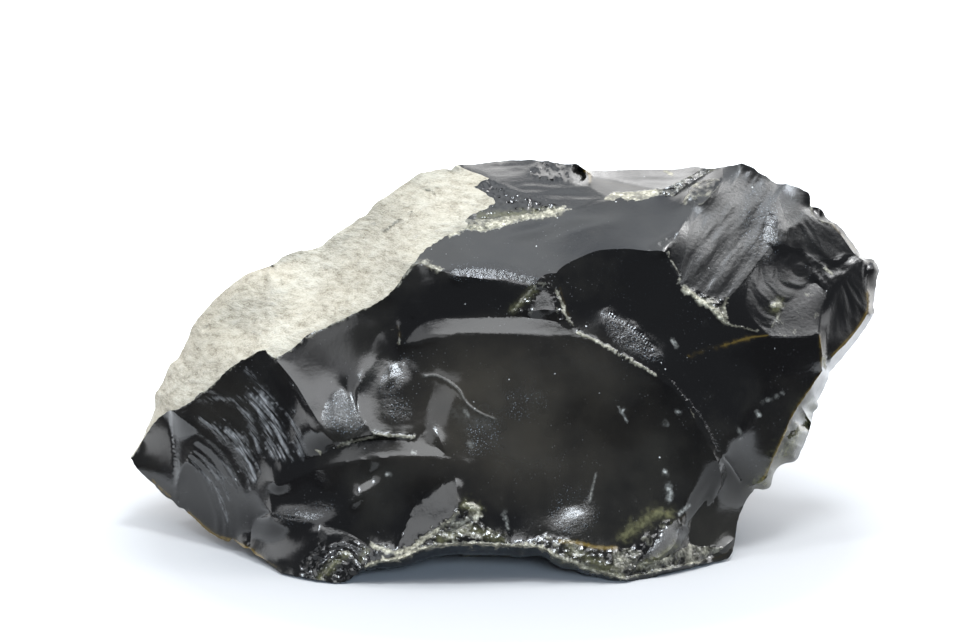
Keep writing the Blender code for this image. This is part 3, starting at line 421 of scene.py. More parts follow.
# ------------------------------------------------------------------ noise
def hash1(x):
    s = np.sin(x * 12.9898) * 43758.5453
    return s - np.floor(s)


def vnoise(P, f, seed=0):
    P = np.asarray(P, float) * f
    d = P.shape[1]
    i = np.floor(P)
    t = P - i
    t = t * t * t * (t * (t * 6 - 15) + 10)
    out = np.zeros(len(P))
    for c in itertools.product((0, 1), repeat=d):
        w = np.ones(len(P))
        h = np.full(len(P), seed * 17.31)
        for k in range(d):
            w *= t[:, k] if c[k] else 1 - t[:, k]
            h = h + (i[:, k] + c[k]) * (57.31, 131.73, 311.17)[k]
        out += w * hash1(h)
    return out * 2 - 1


def fbm(P, f, octv=3, seed=0, gain=0.5):
    a, o, tot = 1.0, 0, 0
    for k in range(octv):
        o = o + a * vnoise(P, f * 2 ** k, seed + k)
        tot += a
        a *= gain
    return o / tot


def ridged(P, f, octv=3, seed=0, gain=0.55):
    """sharp crests between rounded hollows, about -1..1"""
    a, o, tot = 1.0, 0, 0
    for k in range(octv):
        o = o + a * (1 - 2 * np.abs(vnoise(P, f * 2 ** k, seed + k)))
        tot += a
        a *= gain
    return o / tot


# ------------------------------------------------------------------ curves and plates
def tps_fit(P, f, lam=0.0):
    n = len(P)
    c = P.mean(0)
    s = P.std() + 1e-9
    Q = (P - c) / s
    d = ((Q[:, None, :] - Q[None, :, :]) ** 2).sum(2)
    A = np.zeros((n + 3, n + 3))
    A[:n, :n] = 0.5 * d * np.log(d + 1e-12) + lam * np.eye(n)
    A[:n, n] = 1
    A[:n, n + 1:] = Q
    A[n, :n] = 1
    A[n + 1:, :n] = Q.T
    b = np.zeros(n + 3)
    b[:n] = f
    w = np.linalg.solve(A + 1e-9 * np.eye(n + 3), b)
    return Q, w, c, s


def tps_eval(T, X):
    Q, w, c, s = T
    out = np.empty(len(X))
    for i in range(0, len(X), 4000):
        x = (X[i:i + 4000] - c) / s
        d = ((x[:, None, :] - Q[None, :, :]) ** 2).sum(2)
        out[i:i + 4000] = (0.5 * d * np.log(d + 1e-12)) @ w[:len(Q)] + w[len(Q)] + x @ w[len(Q) + 1:]
    return out


def spline(P, step):
    """smooth curve through P, sampled about every step"""
    P = np.asarray(P, float)
    Q = np.vstack([2 * P[0] - P[1], P, 2 * P[-1] - P[-2]])
    out = []
    for i in range(1, len(Q) - 2):
        a, b, c, d = Q[i - 1], Q[i], Q[i + 1], Q[i + 2]
        L = np.linalg.norm(c - b)
        n = max(1, int(round(L / step)))
        t = np.arange(n)[:, None] / n
        m1 = (c - a) * 0.5 * min(1, 2 * L / (np.linalg.norm(c - a) + 1e-9))
        m2 = (d - b) * 0.5 * min(1, 2 * L / (np.linalg.norm(d - b) + 1e-9))
        out.append((2 * t ** 3 - 3 * t ** 2 + 1) * b + (t ** 3 - 2 * t ** 2 + t) * m1 + (-2 * t ** 3 + 3 * t ** 2) * c + (t ** 3 - t ** 2) * m2)
    out.append(Q[-2][None, :])
    return np.vstack(out)


def near_line(P, line, reach):
    """distance of each point of P to a polyline, and how far along it; far points get reach"""
    line = np.asarray(line, float)
    d = np.full(len(P), float(reach))
    s = np.zeros(len(P))
    lo, hi = line.min(0) - reach, line.max(0) + reach
    m = np.where(((P > lo) & (P < hi)).all(1))[0]
    if len(m) == 0:
        return d, s
    q = P[m]
    best = np.full(len(m), float(reach))
    bs = np.zeros(len(m))
    acc = 0.0
    for a, b in zip(line[:-1], line[1:]):
        ab = b - a
        L = np.linalg.norm(ab) + 1e-12
        t = np.clip(((q - a) @ ab) / (L * L), 0, 1)
        dd = np.linalg.norm(q - a - t[:, None] * ab, axis=1)
        k = dd < best
        best[k] = dd[k]
        bs[k] = acc + t[k] * L
        acc += L
    d[m] = best
    s[m] = bs
    return d, s


def inside(P, poly):
    x, y = P[:, 0], P[:, 1]
    r = np.zeros(len(P), bool)
    n = len(poly)
    for i in range(n):
        x1, y1 = poly[i]
        x2, y2 = poly[(i + 1) % n]
        if y1 == y2:
            continue
        r ^= ((y1 > y) != (y2 > y)) & (x < (x2 - x1) * (y - y1) / (y2 - y1) + x1)
    return r


def hexgrid(x0, x1, y0, y1, s):
    ys = np.arange(y0, y1, s * 3 ** 0.5 / 2)
    X, Y = np.meshgrid(np.arange(x0, x1, s), ys)
    X = X + ((np.arange(len(ys)) % 2) * 0.5 * s)[:, None]
    P = np.stack([X.ravel(), Y.ravel()], 1)
    return P + (rng.rand(len(P), 2) - 0.5) * s * 0.25


def sheet(loop, lines, grid, tol):
    """triangulates the inside of a closed outline with ridge lines and inner points;
    returns points, triangles, index on the outline, on-a-ridge flags and region numbers"""
    verts = [tuple(p) for p in loop]
    n0 = len(verts)
    edges = [(i, (i + 1) % n0) for i in range(n0)]
    for L in lines:
        prev = None
        for p in L:
            verts.append(tuple(p))
            if prev is not None:
                edges.append((prev, len(verts) - 1))
            prev = len(verts) - 1
    F = np.array(verts)
    kd = KDTree(len(F))
    for i, p in enumerate(F):
        kd.insert((p[0], p[1], 0), i)
    kd.balance()
    tols = np.broadcast_to(tol, (len(grid),))
    keep = np.array([kd.find((p[0], p[1], 0))[2] > t for p, t in zip(grid, tols)])
    G = grid[keep]
    G = G[inside(G, loop)]
    allv = [Vector(p) for p in verts] + [Vector((float(a), float(b))) for a, b in G]
    V, Ed, T, ov, oe, _of = delaunay_2d_cdt(allv, edges, [], 0, 1e-5, True)
    V = np.array([(v[0], v[1]) for v in V])
    T = np.array([tuple(t) for t in T])
    cons = {(min(a, b), max(a, b)) for (a, b), o in zip(Ed, oe) if len(o)}
    T = T[inside(V[T].mean(1), loop)]
    a = V[T[:, 1]] - V[T[:, 0]]
    b = V[T[:, 2]] - V[T[:, 0]]
    ar = a[:, 0] * b[:, 1] - a[:, 1] * b[:, 0]
    T[ar < 0] = T[ar < 0][:, ::-1]
    T = T[np.abs(ar) > 1e-9]
    isloop = np.full(len(V), -1)
    for j, o in enumerate(ov):
        for q in o:
            if q < n0:
                isloop[j] = q
    par = list(range(len(T)))

    def find(x):
        while par[x] != x:
            par[x] = par[par[x]]
            x = par[x]
        return x
    seen = {}
    for ti, t in enumerate(T.tolist()):
        for k in range(3):
            e = (min(t[k], t[(k + 1) % 3]), max(t[k], t[(k + 1) % 3]))
            if e in cons:
                continue
            if e in seen:
                ra, rb = find(seen[e]), find(ti)
                if ra != rb:
                    par[ra] = rb
            else:
                seen[e] = ti
    _, reg = np.unique(np.array([find(i) for i in range(len(T))]), return_inverse=True)
    fixed = np.zeros(len(V), bool)
    for e in cons:
        fixed[e[0]] = fixed[e[1]] = True
    return V, T, isloop, fixed, reg


def locate(V, T, reg, p):
    A, B, C = V[T[:, 0]], V[T[:, 1]], V[T[:, 2]]

    def cr(a, b):
        return (b[:, 0] - a[:, 0]) * (p[1] - a[:, 1]) - (b[:, 1] - a[:, 1]) * (p[0] - a[:, 0])
    i = np.where((cr(A, B) >= -1e-9) & (cr(B, C) >= -1e-9) & (cr(C, A) >= -1e-9))[0]
    return int(reg[i[0]]) if len(i) else -1


def fill(V, T, reg, fixed, depth, ctrl):
    """stretches a thin plate over every region's rim, through its own inner points"""
    out = depth.copy()
    for r in range(reg.max() + 1):
        vs = np.unique(T[reg == r])
        b, i = vs[fixed[vs]], vs[~fixed[vs]]
        if len(i) == 0:
            continue
        bb = b[::max(1, len(b) // 260)]
        P, f = V[bb], depth[bb]
        if r in ctrl:
            c = np.array(ctrl[r], float)
            P = np.vstack([P, c[:, :2]])
            f = np.concatenate([f, c[:, 2]])
        out[i] = tps_eval(tps_fit(P, f, 1e-6), V[i])
    return out

# ------------------------------------------------------------------ front sheet
STEP = 1.6
i0 = min(range(len(SIL)), key=lambda i: abs(SIL[i][0] - 714) + abs(SIL[i][1] - 561.8))
i1 = min(range(len(SIL)), key=lambda i: abs(SIL[i][0] - 357) + abs(SIL[i][1] - 571.4))
FRONT_EDGE = SIL[i0:i1 + 1]
OUTER = SIL[:i0] + BAND + SIL[i1 + 1:]
OUTC = spline(np.array(OUTER + [OUTER[0]], float), STEP)[:-1]
OUTC = OUTC + np.stack([fbm(OUTC, 0.21, 2, 31), fbm(OUTC, 0.21, 2, 37)], 1) * 0.55


def along(Pc, ctl):
    a = np.r_[0, np.cumsum(np.linalg.norm(np.diff(np.vstack([Pc, Pc[:1]]), axis=0), axis=1))]
    L = a[-1]
    a = a[:-1]
    s = []
    y = []
    for u, v, d in ctl:
        s.append(a[np.argmin((Pc[:, 0] - u) ** 2 + (Pc[:, 1] - v) ** 2)])
        y.append(d)
    o = np.argsort(s)
    s, y = np.array(s)[o], np.array(y)[o]
    return np.interp(a, np.r_[s[-1] - L, s, s[0] + L], np.r_[y[-1], y, y[0]])


OUT_DEPTH = along(OUTC, SILD)
R['be'] = FRONT_EDGE
SOFT = {'d1in', 'vl1', 'vl2', 'lp7', 'br6'}            # drawn in the shapes, not as creases
ROUGH = {'utop': 0.9, 'utopc': 0.9, 'cb5': 1.0, 'lipc': 0.7, 'lipd': 0.5, 'd2br': 0.8, 'd1b1': 0.9, 'd1b2': 0.5, 'cs1': 0.8,
         'cs2': 0.9, 'cs5': 0.9, 'cs4': 0.8, 'be': 0.9, 'sbt': 0.5, 'sbb': 0.8, 'tri1': 0.5, 'tri2': 0.5, 'lump': 0.8, 'cb1': 0.5,
         'cb2': 0.55, 'cb3': 0.5, 'cb4': 0.6, 'sw1': 0.6, 'cr1': 0.8, 'br3': 0.6, 'br4': 0.5, 're2': 0.5, 'bright': 0.45, 'lensl': 0.6, 'd1l': 0.3,
         'cbev': 0.5, 'al1': 0.35, 'ub3': 0.35, 'br5': 0.4}
names = [k for k in R if k not in SOFT]
curves = {}
for n_, k in enumerate(names):
    c = spline(np.array(R[k], float), STEP)
    a = ROUGH.get(k, 0.12)
    j = np.stack([fbm(c, 0.33, 2, 50 + n_), fbm(c, 0.33, 2, 90 + n_)], 1) * a * 1.6
    j[0] = j[-1] = 0
    curves[k] = c + j
allp = np.vstack([OUTC] + [curves[k] for k in names])
own = np.concatenate([[-1] * len(OUTC)] + [[i] * len(curves[k]) for i, k in enumerate(names)])
for i, k in enumerate(names):
    for e in (0, -1):
        d = ((allp - curves[k][e]) ** 2).sum(1)
        d[own == i] = 1e9
        j = np.argmin(d)
        if d[j] < 16.0:
            curves[k][e] = allp[j]

BODY = tps_fit(np.array([b[:2] for b in BASE], float), np.array([b[2] for b in BASE], float), 1e-4)

FINE = [  # picture areas that carry small relief
    [(372, 350), (404, 346), (424, 350), (420, 372), (404, 412), (378, 412)], [(558, 498), (590, 498), (590, 528), (558, 528)], [(270, 498), (332, 490), (345, 512), (300, 528), (270, 526)],
    [(345, 500), (378, 462), (392, 470), (360, 508)], [(598, 308), (640, 316), (668, 352), (708, 402), (722, 450), (708, 440), (685, 402), (640, 364), (610, 345)], [(318, 384), (372, 384), (372, 438), (318, 438)],
    [(452, 262), (536, 268), (536, 288), (452, 284)], [(735, 455), (722, 500), (690, 530), (682, 520), (706, 496), (712, 458)],
    [(463, 160), (600, 160), (660, 166), (725, 160), (722, 205), (690, 212), (610, 206), (560, 214), (500, 232), (455, 238), (466, 200), (455, 165)],
    [(684, 165), (760, 170), (882, 255), (882, 320), (828, 385), (818, 340), (765, 340), (700, 305), (680, 285)],
    [(248, 505), (330, 520), (400, 540), (400, 590), (290, 590), (240, 560)],
    [(380, 530), (460, 495), (520, 530), (640, 540), (690, 505), (745, 500), (745, 570), (620, 590), (540, 565), (380, 580)],
    [(770, 470), (830, 365), (832, 400), (800, 470), (770, 495), (740, 492)],
    [(500, 275), (580, 270), (590, 335), (500, 325)],
    [(170, 410), (265, 350), (330, 455), (275, 475), (270, 520), (250, 550), (180, 510)],
    [(330, 430), (440, 425), (450, 450), (330, 455)],
    [(405, 262), (440, 262), (445, 282), (410, 300)],
]
COARSE = [
    [(410, 335), (560, 335), (650, 380), (700, 450), (690, 500), (600, 530), (500, 520), (465, 470), (410, 400)],
    [(570, 270), (660, 262), (760, 345), (810, 345), (760, 460), (700, 400)],
    [(470, 245), (670, 215), (640, 240), (560, 255), (470, 262)],
    [(290, 480), (440, 465), (440, 500), (390, 535), (290, 510)],
]


def grid_points():
    g = {s: hexgrid(120, 890, 150, 595, s) for s in (1.75, 2.5, 3.6)}

    def mask(P, polys):
        m = np.zeros(len(P), bool)
        for q in polys:
            m |= inside(P, q)
        return m
    f = g[1.75][mask(g[1.75], FINE)]
    c = g[3.6]
    c = c[mask(c, COARSE) & ~mask(c, FINE)]
    m = g[2.5]
    m = m[~mask(m, FINE) & ~mask(m, COARSE)]
    P = np.vstack([f, m, c])
    tol = np.concatenate([np.full(len(f), 1.05), np.full(len(m), 1.4), np.full(len(c), 1.9)])
    # the strokes get rows of their own points
    extra = []
    for st in FINE_STROKES:
        l = spline(np.array(st, float), 1.0)
        t = np.gradient(l, axis=0)
        nrm = np.stack([-t[:, 1], t[:, 0]], 1) / (np.linalg.norm(t, axis=1)[:, None] + 1e-9)
        for o in (-2.2, -1.1, 0, 1.1, 2.2):
            extra.append(l + nrm * o)
    if extra:
        E_ = np.vstack(extra)
        kd = KDTree(len(E_))
        for i, p in enumerate(E_):
            kd.insert((p[0], p[1], 0), i)
        kd.balance()
        far = np.array([kd.find((p[0], p[1], 0))[2] > 1.2 for p in P])
        P = np.vstack([P[far], E_])
        tol = np.concatenate([tol[far], np.full(len(E_), 0.7)])
    return P, tol


gp, gt = grid_points()
V, T, isl, fixed, reg = sheet(OUTC, [curves[k] for k in names], gp, gt)
Y = tps_eval(BODY, V)
on = isl >= 0
Y[on] = OUT_DEPTH[isl[on]]
ctrl = {}
RN = {}
for k, (seed, c) in REGIONS.items():
    r = locate(V, T, reg, seed)
    RN[k] = r
    if r >= 0 and len(c):
        ctrl.setdefault(r, []).extend(c)
Y = fill(V, T, reg, fixed, Y, ctrl)
def slope_for(N):
    """picture-plane slopes of a surface with this outward direction"""
    N = np.asarray(N, float)
    f, u = N @ FW, N @ UP
    k = RANGE / FPX
    return np.array([-k * math.cos(ELEV) * N[0] / f, -k * (math.sin(ELEV) - math.cos(ELEV) * u / f)])



# every scar is given the way it faces, and one surface is fitted to all of them at once
def fit_facing(Y0, body, gt_, gw_, w_anchor, iters):
    a, b, c = V[T[:, 0]], V[T[:, 1]], V[T[:, 2]]
    A2 = (b[:, 0] - a[:, 0]) * (c[:, 1] - a[:, 1]) - (b[:, 1] - a[:, 1]) * (c[:, 0] - a[:, 0])
    ar0 = np.abs(A2) * 0.5
    ar = ar0 * gw_

    def gradof(p, q):
        e = q - p
        return np.stack([-e[:, 1], e[:, 0]], 1) / A2[:, None]
    G3 = [gradof(b, c), gradof(c, a), gradof(a, b)]
    n = len(V)
    vm = sum(np.bincount(T[:, k], ar0 / 3, n) for k in range(3))
    free = ~on

    def op(x):
        gx = sum(G3[k][:, 0] * x[T[:, k]] for k in range(3)) * ar
        gy = sum(G3[k][:, 1] * x[T[:, k]] for k in range(3)) * ar
        r = sum(np.bincount(T[:, k], G3[k][:, 0] * gx + G3[k][:, 1] * gy, n) for k in range(3))
        return r + w_anchor * vm * x
    rhs = sum(np.bincount(T[:, k], (G3[k] * gt_).sum(1) * ar, n) for k in range(3)) + w_anchor * vm * body
    x = Y0.copy()
    diag = sum(np.bincount(T[:, k], (G3[k] ** 2).sum(1) * ar, n) for k in range(3)) + w_anchor * vm + 1e-9
    r = np.where(free, rhs - op(x), 0)
    z = r / diag
    p = z.copy()
    rz = (r * z).sum()
    for _i in range(iters):
        q = np.where(free, op(p), 0)
        al = rz / ((p * q).sum() + 1e-30)
        x += al * p
        r -= al * q
        z = r / diag
        rz2 = (r * z).sum()
        p = z + rz2 / (rz + 1e-30) * p
        rz = rz2
    return x


FC = V[T].mean(1)
_a, _b, _c = V[T[:, 0]], V[T[:, 1]], V[T[:, 2]]
_A2 = (_b[:, 0] - _a[:, 0]) * (_c[:, 1] - _a[:, 1]) - (_b[:, 1] - _a[:, 1]) * (_c[:, 0] - _a[:, 0])
GT = np.zeros((len(T), 2))
for k, (p_, q_) in enumerate(((_b, _c), (_c, _a), (_a, _b))):
    e_ = q_ - p_
    GT += np.stack([-e_[:, 1], e_[:, 0]], 1) / _A2[:, None] * Y[T[:, k]][:, None]
GT = np.clip(GT, -0.6, 0.6)
GW = np.full(len(T), 0.6)          # how firmly each face holds its direction; dull black ones yield


def firmness(N, given=None):
    return given if given else 0.3 if abs(N[0]) < 0.34 and N[2] < 0.43 else 3.0


for k, (pts, curv) in FACING.items():
    if RN.get(k, -1) < 0:
        print('no region', k)
        continue
    f = np.where(reg == RN[k])[0]
    C = FC[f]
    if len(pts) == 1:
        GT[f] = slope_for(pts[0][2])
        GW[f] = firmness(*pts[0][2:])
    else:
        S_ = np.array([slope_for(p[2]) for p in pts])
        d2 = ((C[:, None, :] - np.array([[p[0], p[1]] for p in pts], float)[None]) ** 2).sum(2) + 60.0
        w = d2 ** -1.5
        w /= w.sum(1, keepdims=True)
        GT[f] = w @ S_
        GW[f] = w @ np.array([firmness(*p[2:]) for p in pts])
    GT[f] -= curv * (C - C.mean(0))
for k, poly, N in FACING_PATCH:
    if RN.get(k, -1) >= 0:
        f = np.where((reg == RN[k]) & inside(FC, np.array(poly, float)))[0]
        GT[f] = slope_for(N)
        GW[f] = 8.0
for u0, v0, ang, la, lb, N, amt in TURNS:
    c_, s_ = math.cos(math.radians(ang)), math.sin(math.radians(ang))
    dx, dy = FC[:, 0] - u0, FC[:, 1] - v0
    w = np.exp(-(((dx * c_ + dy * s_) / (la * 1.15)) ** 2 + ((-dx * s_ + dy * c_) / (lb * 1.35)) ** 2) ** 1.5) * amt
    GT += (slope_for(N) - GT) * w[:, None]
    GW += w * 6.0
for line, w_, N, amt in TURN_LINES:
    d, _ = near_line(FC, spline(np.array(line, float), 3.0), w_ * 4)
    w = np.exp(-(d / (w_ * 1.3)) ** 3) * amt
    GT += (slope_for(N) - GT) * w[:, None]
    GW += w * 6.0
Y = fit_facing(Y, tps_eval(BODY, V), GT, GW, 0.5 / 120.0 ** 2, 900)
nV = len(V)
print('front', nV, len(T), 'regions', reg.max() + 1)


def verts_of(*keys):
    m = np.zeros(nV, bool)
    for k in keys:
        if RN.get(k, -1) >= 0:
            m[np.unique(T[reg == RN[k]])] = True
    return m


rim = np.full(nV, 60.0)                     # distance to the nearest ridge or outline
for k in names:
    rim = np.minimum(rim, near_line(V, curves[k], 30.0)[0])
rim = np.minimum(rim, near_line(V, np.vstack([OUTC, OUTC[:1]]), 30.0)[0])
soft = np.clip(rim / 3.0, 0, 1)             # fades relief in from the ridges

cortex = np.zeros(nV); crush = np.zeros(nV); amber = np.zeros(nV); hackle = np.zeros(nV); olive = np.zeros(nV); white = np.zeros(nV)

def stroke(line, w, amp=1.0, ragged=0.0, seed=0, power=2.0):
    d, s = near_line(V, spline(np.array(line, float), 2.0), w * 3.2)
    far = d >= w * 3.15
    if ragged:
        d = d * (1 + ragged * fbm(V, 0.35, 2, 200 + seed))
        d = np.maximum(d, 0)
    m = np.exp(-(d / w) ** power) * amp
    m[far] = 0
    return m


# --- crust: grain, pits, cracks
cx = verts_of('cortex', 'cstrip', 'cstrip2')
relief = fbm(V, 0.035, 3, 3) * 0.55 + fbm(V, 0.30, 3, 5) * 0.20 + ridged(V @ np.array([[0.8, 0.6], [-0.6, 0.8]]) * np.array([0.35, 1.0]), 0.14, 2, 9) * 0.12
Y -= np.where(cx, relief * np.clip(rim / 5.0, 0, 1), 0)
for line, w, a in CRACKS:
    m = stroke(line, w, 1.0, 0.5, 4)
    Y += np.where(cx, m * a, 0)
# --- left scar: rings around its striking point, then hackle streaks
s1 = verts_of('S1')
rad = np.hypot(V[:, 0] - 138, V[:, 1] - 525)
ring = np.zeros(nV)
for r0, w, a in ((80, 3.2, 0.30), (88, 2.6, 0.26), (94, 3.5, 0.16), (104, 4.0, 0.14), (112, 4.5, 0.10), (126, 6.0, 0.12), (141, 5.0, 0.12), (156, 5.0, 0.12)):
    ring += a * np.exp(-((rad + fbm(V, 0.03, 2, 77) * 3 - r0) / w) ** 2)
Y -= np.where(s1, ring * soft, 0)
for line, w, a in HACKLES:
    m = stroke(line, w, a, 0.9, 6)
    n = 0.5 + 0.5 * vnoise(np.stack([V[:, 0] * 1.0, V[:, 1] * 0.25], 1), 0.7, 3)
    hackle = np.maximum(hackle, m * (0.35 + 0.65 * n))
Y -= hackle * 0.10 * ridged(V, 0.35, 2, 8) * np.where(s1, 1, 0.3)
# --- ribs and lines that stand up from a scar
for line, w, a in RIBS:
    Y -= stroke(line, w, a, 0.0)
# --- crumpled zones
for keys, f, a, cr in CRINKLED:
    m = verts_of(*keys) & ~inside(V, np.array(TAB, float))
    Y -= np.where(m, (ridged(V, f, 3, 21) * 0.7 + fbm(V, f * 2.5, 2, 23) * 0.3) * a * np.clip(rim / 2.5, 0.15, 1), 0)
    crush = np.maximum(crush, np.where(m, cr, 0))
for keys, amount in CRUSHED:
    crush = np.maximum(crush, np.where(verts_of(*keys), amount, 0))
for line, w, a in CRUSH_LINES:
    m = stroke(line, w, a, 0.8, 12)
    crush = np.maximum(crush, m)
    Y -= m * (ridged(V, 0.28, 3, 41) * 0.35 + fbm(V, 0.8, 2, 43) * 0.12) * np.where(on, 0, 1)
for line, w, a in WHITES:
    white = np.maximum(white, stroke(line, w, a, 0.5, 14))
for line, w, a in AMBERS:
    amber = np.maximum(amber, stroke(line, w, a, 0.5, 16, 1.6))
for line, w, a in OLIVES:
    olive = np.maximum(olive, stroke(line, w, a, 0.6, 18, 1.8))
# --- long flow streaks of the top facet
t1 = verts_of('T1', 'T2', 'T3')
Y -= np.where(t1, (fbm(V * np.array([0.030, 0.30]), 1.0, 2, 61)) * 0.45 * np.clip(rim / 4, 0, 1), 0)
# --- whorl at the left foot
ft = verts_of('foot')
rf = np.hypot((V[:, 0] - 338) * 0.9, V[:, 1] - 574)
Y -= np.where(ft, (np.sin(rf * 0.75 + fbm(V, 0.08, 2, 63) * 3.0) * 0.22 + ridged(V, 0.15, 2, 64) * 0.22) * np.clip(rim / 4, 0, 1), 0)
# --- rippled lump at the right
lp = verts_of('LP')
rl = np.hypot(V[:, 0] - 800, (V[:, 1] - 268) * 1.0)
Y -= np.where(lp, (np.sin(rl * 1.0 + fbm(V, 0.05, 2, 65) * 6.0) * 0.022 + np.sin(rl * 0.42 + 1.0) * 0.05) * soft, 0)
# --- satin face: broad soft waves
sf = verts_of('TR')
Y -= np.where(sf, (fbm(V @ np.array([[0.55, 0.85], [-0.85, 0.55]]) * np.array([0.018, 0.085]), 1.0, 3, 67) * 0.36 + fbm(V, 0.3, 2, 68) * 0.02) * np.clip(rim / 5, 0, 1), 0)
satin = np.zeros(nV)
for k, a in (('TR', 1.0), ('F2', 0.7), ('F3', 0.7), ('DK', 0.8), ('LP', 0.45), ('HL', 0.6), ('LF', 0.6), ('RF', 0.4), ('T1', 0.5), ('T3', 0.5), ('S2', 0.15), ('U1', 0.2), ('rib', 0.6)):
    satin = np.maximum(satin, np.where(verts_of(k), a, 0))
# --- hackles on the two right facets
for k, c, sc in (('RF', (835, 262), 1.2), ('DK', (790, 200), 1.6)):
    m = verts_of(k)
    th = np.arctan2(V[:, 1] - c[1], V[:, 0] - c[0])
    rr = np.hypot(V[:, 0] - c[0], V[:, 1] - c[1])
    Y -= np.where(m, fbm(np.stack([th * 9, rr * 0.03], 1), 1.0, 2, 70) * 0.13 * sc * soft, 0)
def slope_at(u0, v0, r):
    m = (np.abs(V[:, 0] - u0) < r) & (np.abs(V[:, 1] - v0) < r)
    if m.sum() < 4:
        return np.zeros(2)
    A = np.stack([V[m, 0] - u0, V[m, 1] - v0, np.ones(m.sum())], 1)
    return np.linalg.lstsq(A, Y[m], rcond=None)[0][:2]


# --- places where a scar turns its face up to the lamp
for _pass in range(2):
    for u0, v0, ang, la, lb, N, amt in TURNS:
        sl = slope_at(u0, v0, max(3.0, lb * 0.6))
        dg = (slope_for(N) - sl) * amt
        c_, s_ = math.cos(math.radians(ang)), math.sin(math.radians(ang))
        dx, dy = V[:, 0] - u0, V[:, 1] - v0
        e = ((dx * c_ + dy * s_) / la) ** 2 + ((-dx * s_ + dy * c_) / lb) ** 2
        Y += (dg[0] * dx + dg[1] * dy) * np.exp(-e ** 1.3) * np.clip(rim / 1.5, 0, 1)
    for line, w, N, amt in (TURN_LINES if _pass == 0 else TURN_LINES[:3]):
        l = spline(np.array(line, float), 3.0)
        dg = np.array([(slope_for(N) - slope_at(a, b, 3.0)) * amt for a, b in l])
        kd = KDTree(len(l))
        for i, p in enumerate(l):
            kd.insert((p[0], p[1], 0), i)
        kd.balance()
        d, _ = near_line(V, l, w * 2.6)
        for i in np.where(d < w * 2.5)[0]:
            c_ = kd.find((V[i, 0], V[i, 1], 0))
            q, j = c_[0], c_[1]
            end = min(1.0, min(j, len(l) - 1 - j) / 3.0 + 0.25)
            Y[i] += (dg[j, 0] * (V[i, 0] - q[0]) + dg[j, 1] * (V[i, 1] - q[1])) * math.exp(-(d[i] / w) ** 2) * end * min(1, rim[i] / 1.2)
spark = np.zeros(nV)
for poly, a in SPARKS:
    q = spline(np.array(poly + [poly[0]], float), 3.0)
    d, _ = near_line(V, q, 12.0)
    s_ = np.where(inside(V, q), 0.5 + d / 8, 0.5 - d / 8)
    spark = np.maximum(spark, np.clip(s_, 0, 1) * a)
# --- every scar carries very faint waves
Y -= fbm(V, 0.018, 2, 80) * 0.25 * np.clip(rim / 12, 0, 1)

SLOT_CRUST = np.zeros(len(T), bool)
for k in ('cortex', 'cstrip', 'cstrip2'):
    if RN.get(k, -1) >= 0:
        SLOT_CRUST |= reg == RN[k]
PF = unproj(V[:, 0], V[:, 1], Y)
OUT3 = unproj(OUTC[:, 0], OUTC[:, 1], OUT_DEPTH)
OUT3[:, 2] = np.maximum(OUT3[:, 2], 0)
PF[on] = OUT3[isl[on]]
PF[:, 2] = np.maximum(PF[:, 2], 0)

# ------------------------------------------------------------------ back sheet
EB = math.radians(20.0)
eb = np.array([0, math.cos(EB), -math.sin(EB)])
gb = np.array([0, math.sin(EB), math.cos(EB)])


def to_ab(P):
    P = np.asarray(P, float)
    return np.stack([P[:, 0], P @ gb], 1), P @ eb


def from_ab(A, h):
    return A[:, 0:1] * np.array([1.0, 0, 0]) + A[:, 1:2] * gb + h[:, None] * eb


def rim_point(u, v):
    return OUT3[np.argmin((OUTC[:, 0] - u) ** 2 + (OUTC[:, 1] - v) ** 2)]


def wobble(P, amt):
    """irregular line between fixed ends; points at the rest level stay on it"""
    n = np.stack([fbm(P, 0.05, 3, 301 + k) for k in range(3)], 1)
    s = np.linspace(0, 1, len(P))
    w = np.minimum(1, np.minimum(s, 1 - s) * len(P) * 0.6 / 12)[:, None]
    Q = P + n * amt * w
    flat = (P[:, 2] < 0.02)
    Q[flat, 2] = 0
    return Q


AB, HB = to_ab(OUT3)
blines, bh = [], []
for pts, amt in BACK_LINES:
    l = np.array([BACK_POINTS[p] if isinstance(p, str) else rim_point(*p) for p in pts], float)
    seg = []
    for a, b in zip(l[:-1], l[1:]):
        n = max(1, int(round(np.linalg.norm(b - a) / 0.62)))
        t = np.arange(n)[:, None] / n
        seg.append(wobble(np.vstack([a * (1 - t) + b * t, b]), amt)[:-1])
    seg.append(l[-1:])
    q = np.vstack(seg)
    a_, h_ = to_ab(q)
    blines.append(a_)
    bh.append(h_)
hx = hexgrid(-82, 82, -14, 82, BACK_SPACING)
low = hexgrid(-60, 60, -14, 12, BACK_SPACING * 0.66)
bg = np.vstack([hx[hx[:, 1] > 10], hx[(hx[:, 1] <= 10) & (np.abs(hx[:, 0]) > 60)], low[low[:, 1] <= 10]])
BVt, BT, bisl, bfixed, breg = sheet(AB, blines, bg, BACK_SPACING * 0.55)
allab = np.vstack([AB] + blines)
allh = np.concatenate([HB] + bh)
kd = KDTree(len(allab))
for i, p in enumerate(allab):
    kd.insert((p[0], p[1], 0), i)
kd.balance()
H = np.zeros(len(BVt))
for i in np.where(bfixed)[0]:
    H[i] = allh[kd.find((BVt[i, 0], BVt[i, 1], 0))[1]]
bon = bisl >= 0
H[bon] = HB[bisl[bon]]
bctrl = {}
BRN = {}
for k, (seed, c) in BACK_REGIONS.items():
    a_, _ = to_ab(np.array([seed], float))
    r = locate(BVt, BT, breg, a_[0])
    BRN[k] = r
    if r >= 0:
        for p in c:
            pa, ph = to_ab(np.array([p], float))
            bctrl.setdefault(r, []).append((pa[0, 0], pa[0, 1], ph[0]))
H = fill(BVt, BT, breg, bfixed, H, bctrl)
nB = len(BVt)
print('back', nB, len(BT), 'regions', breg.max() + 1)
brim = np.full(nB, 15.0)
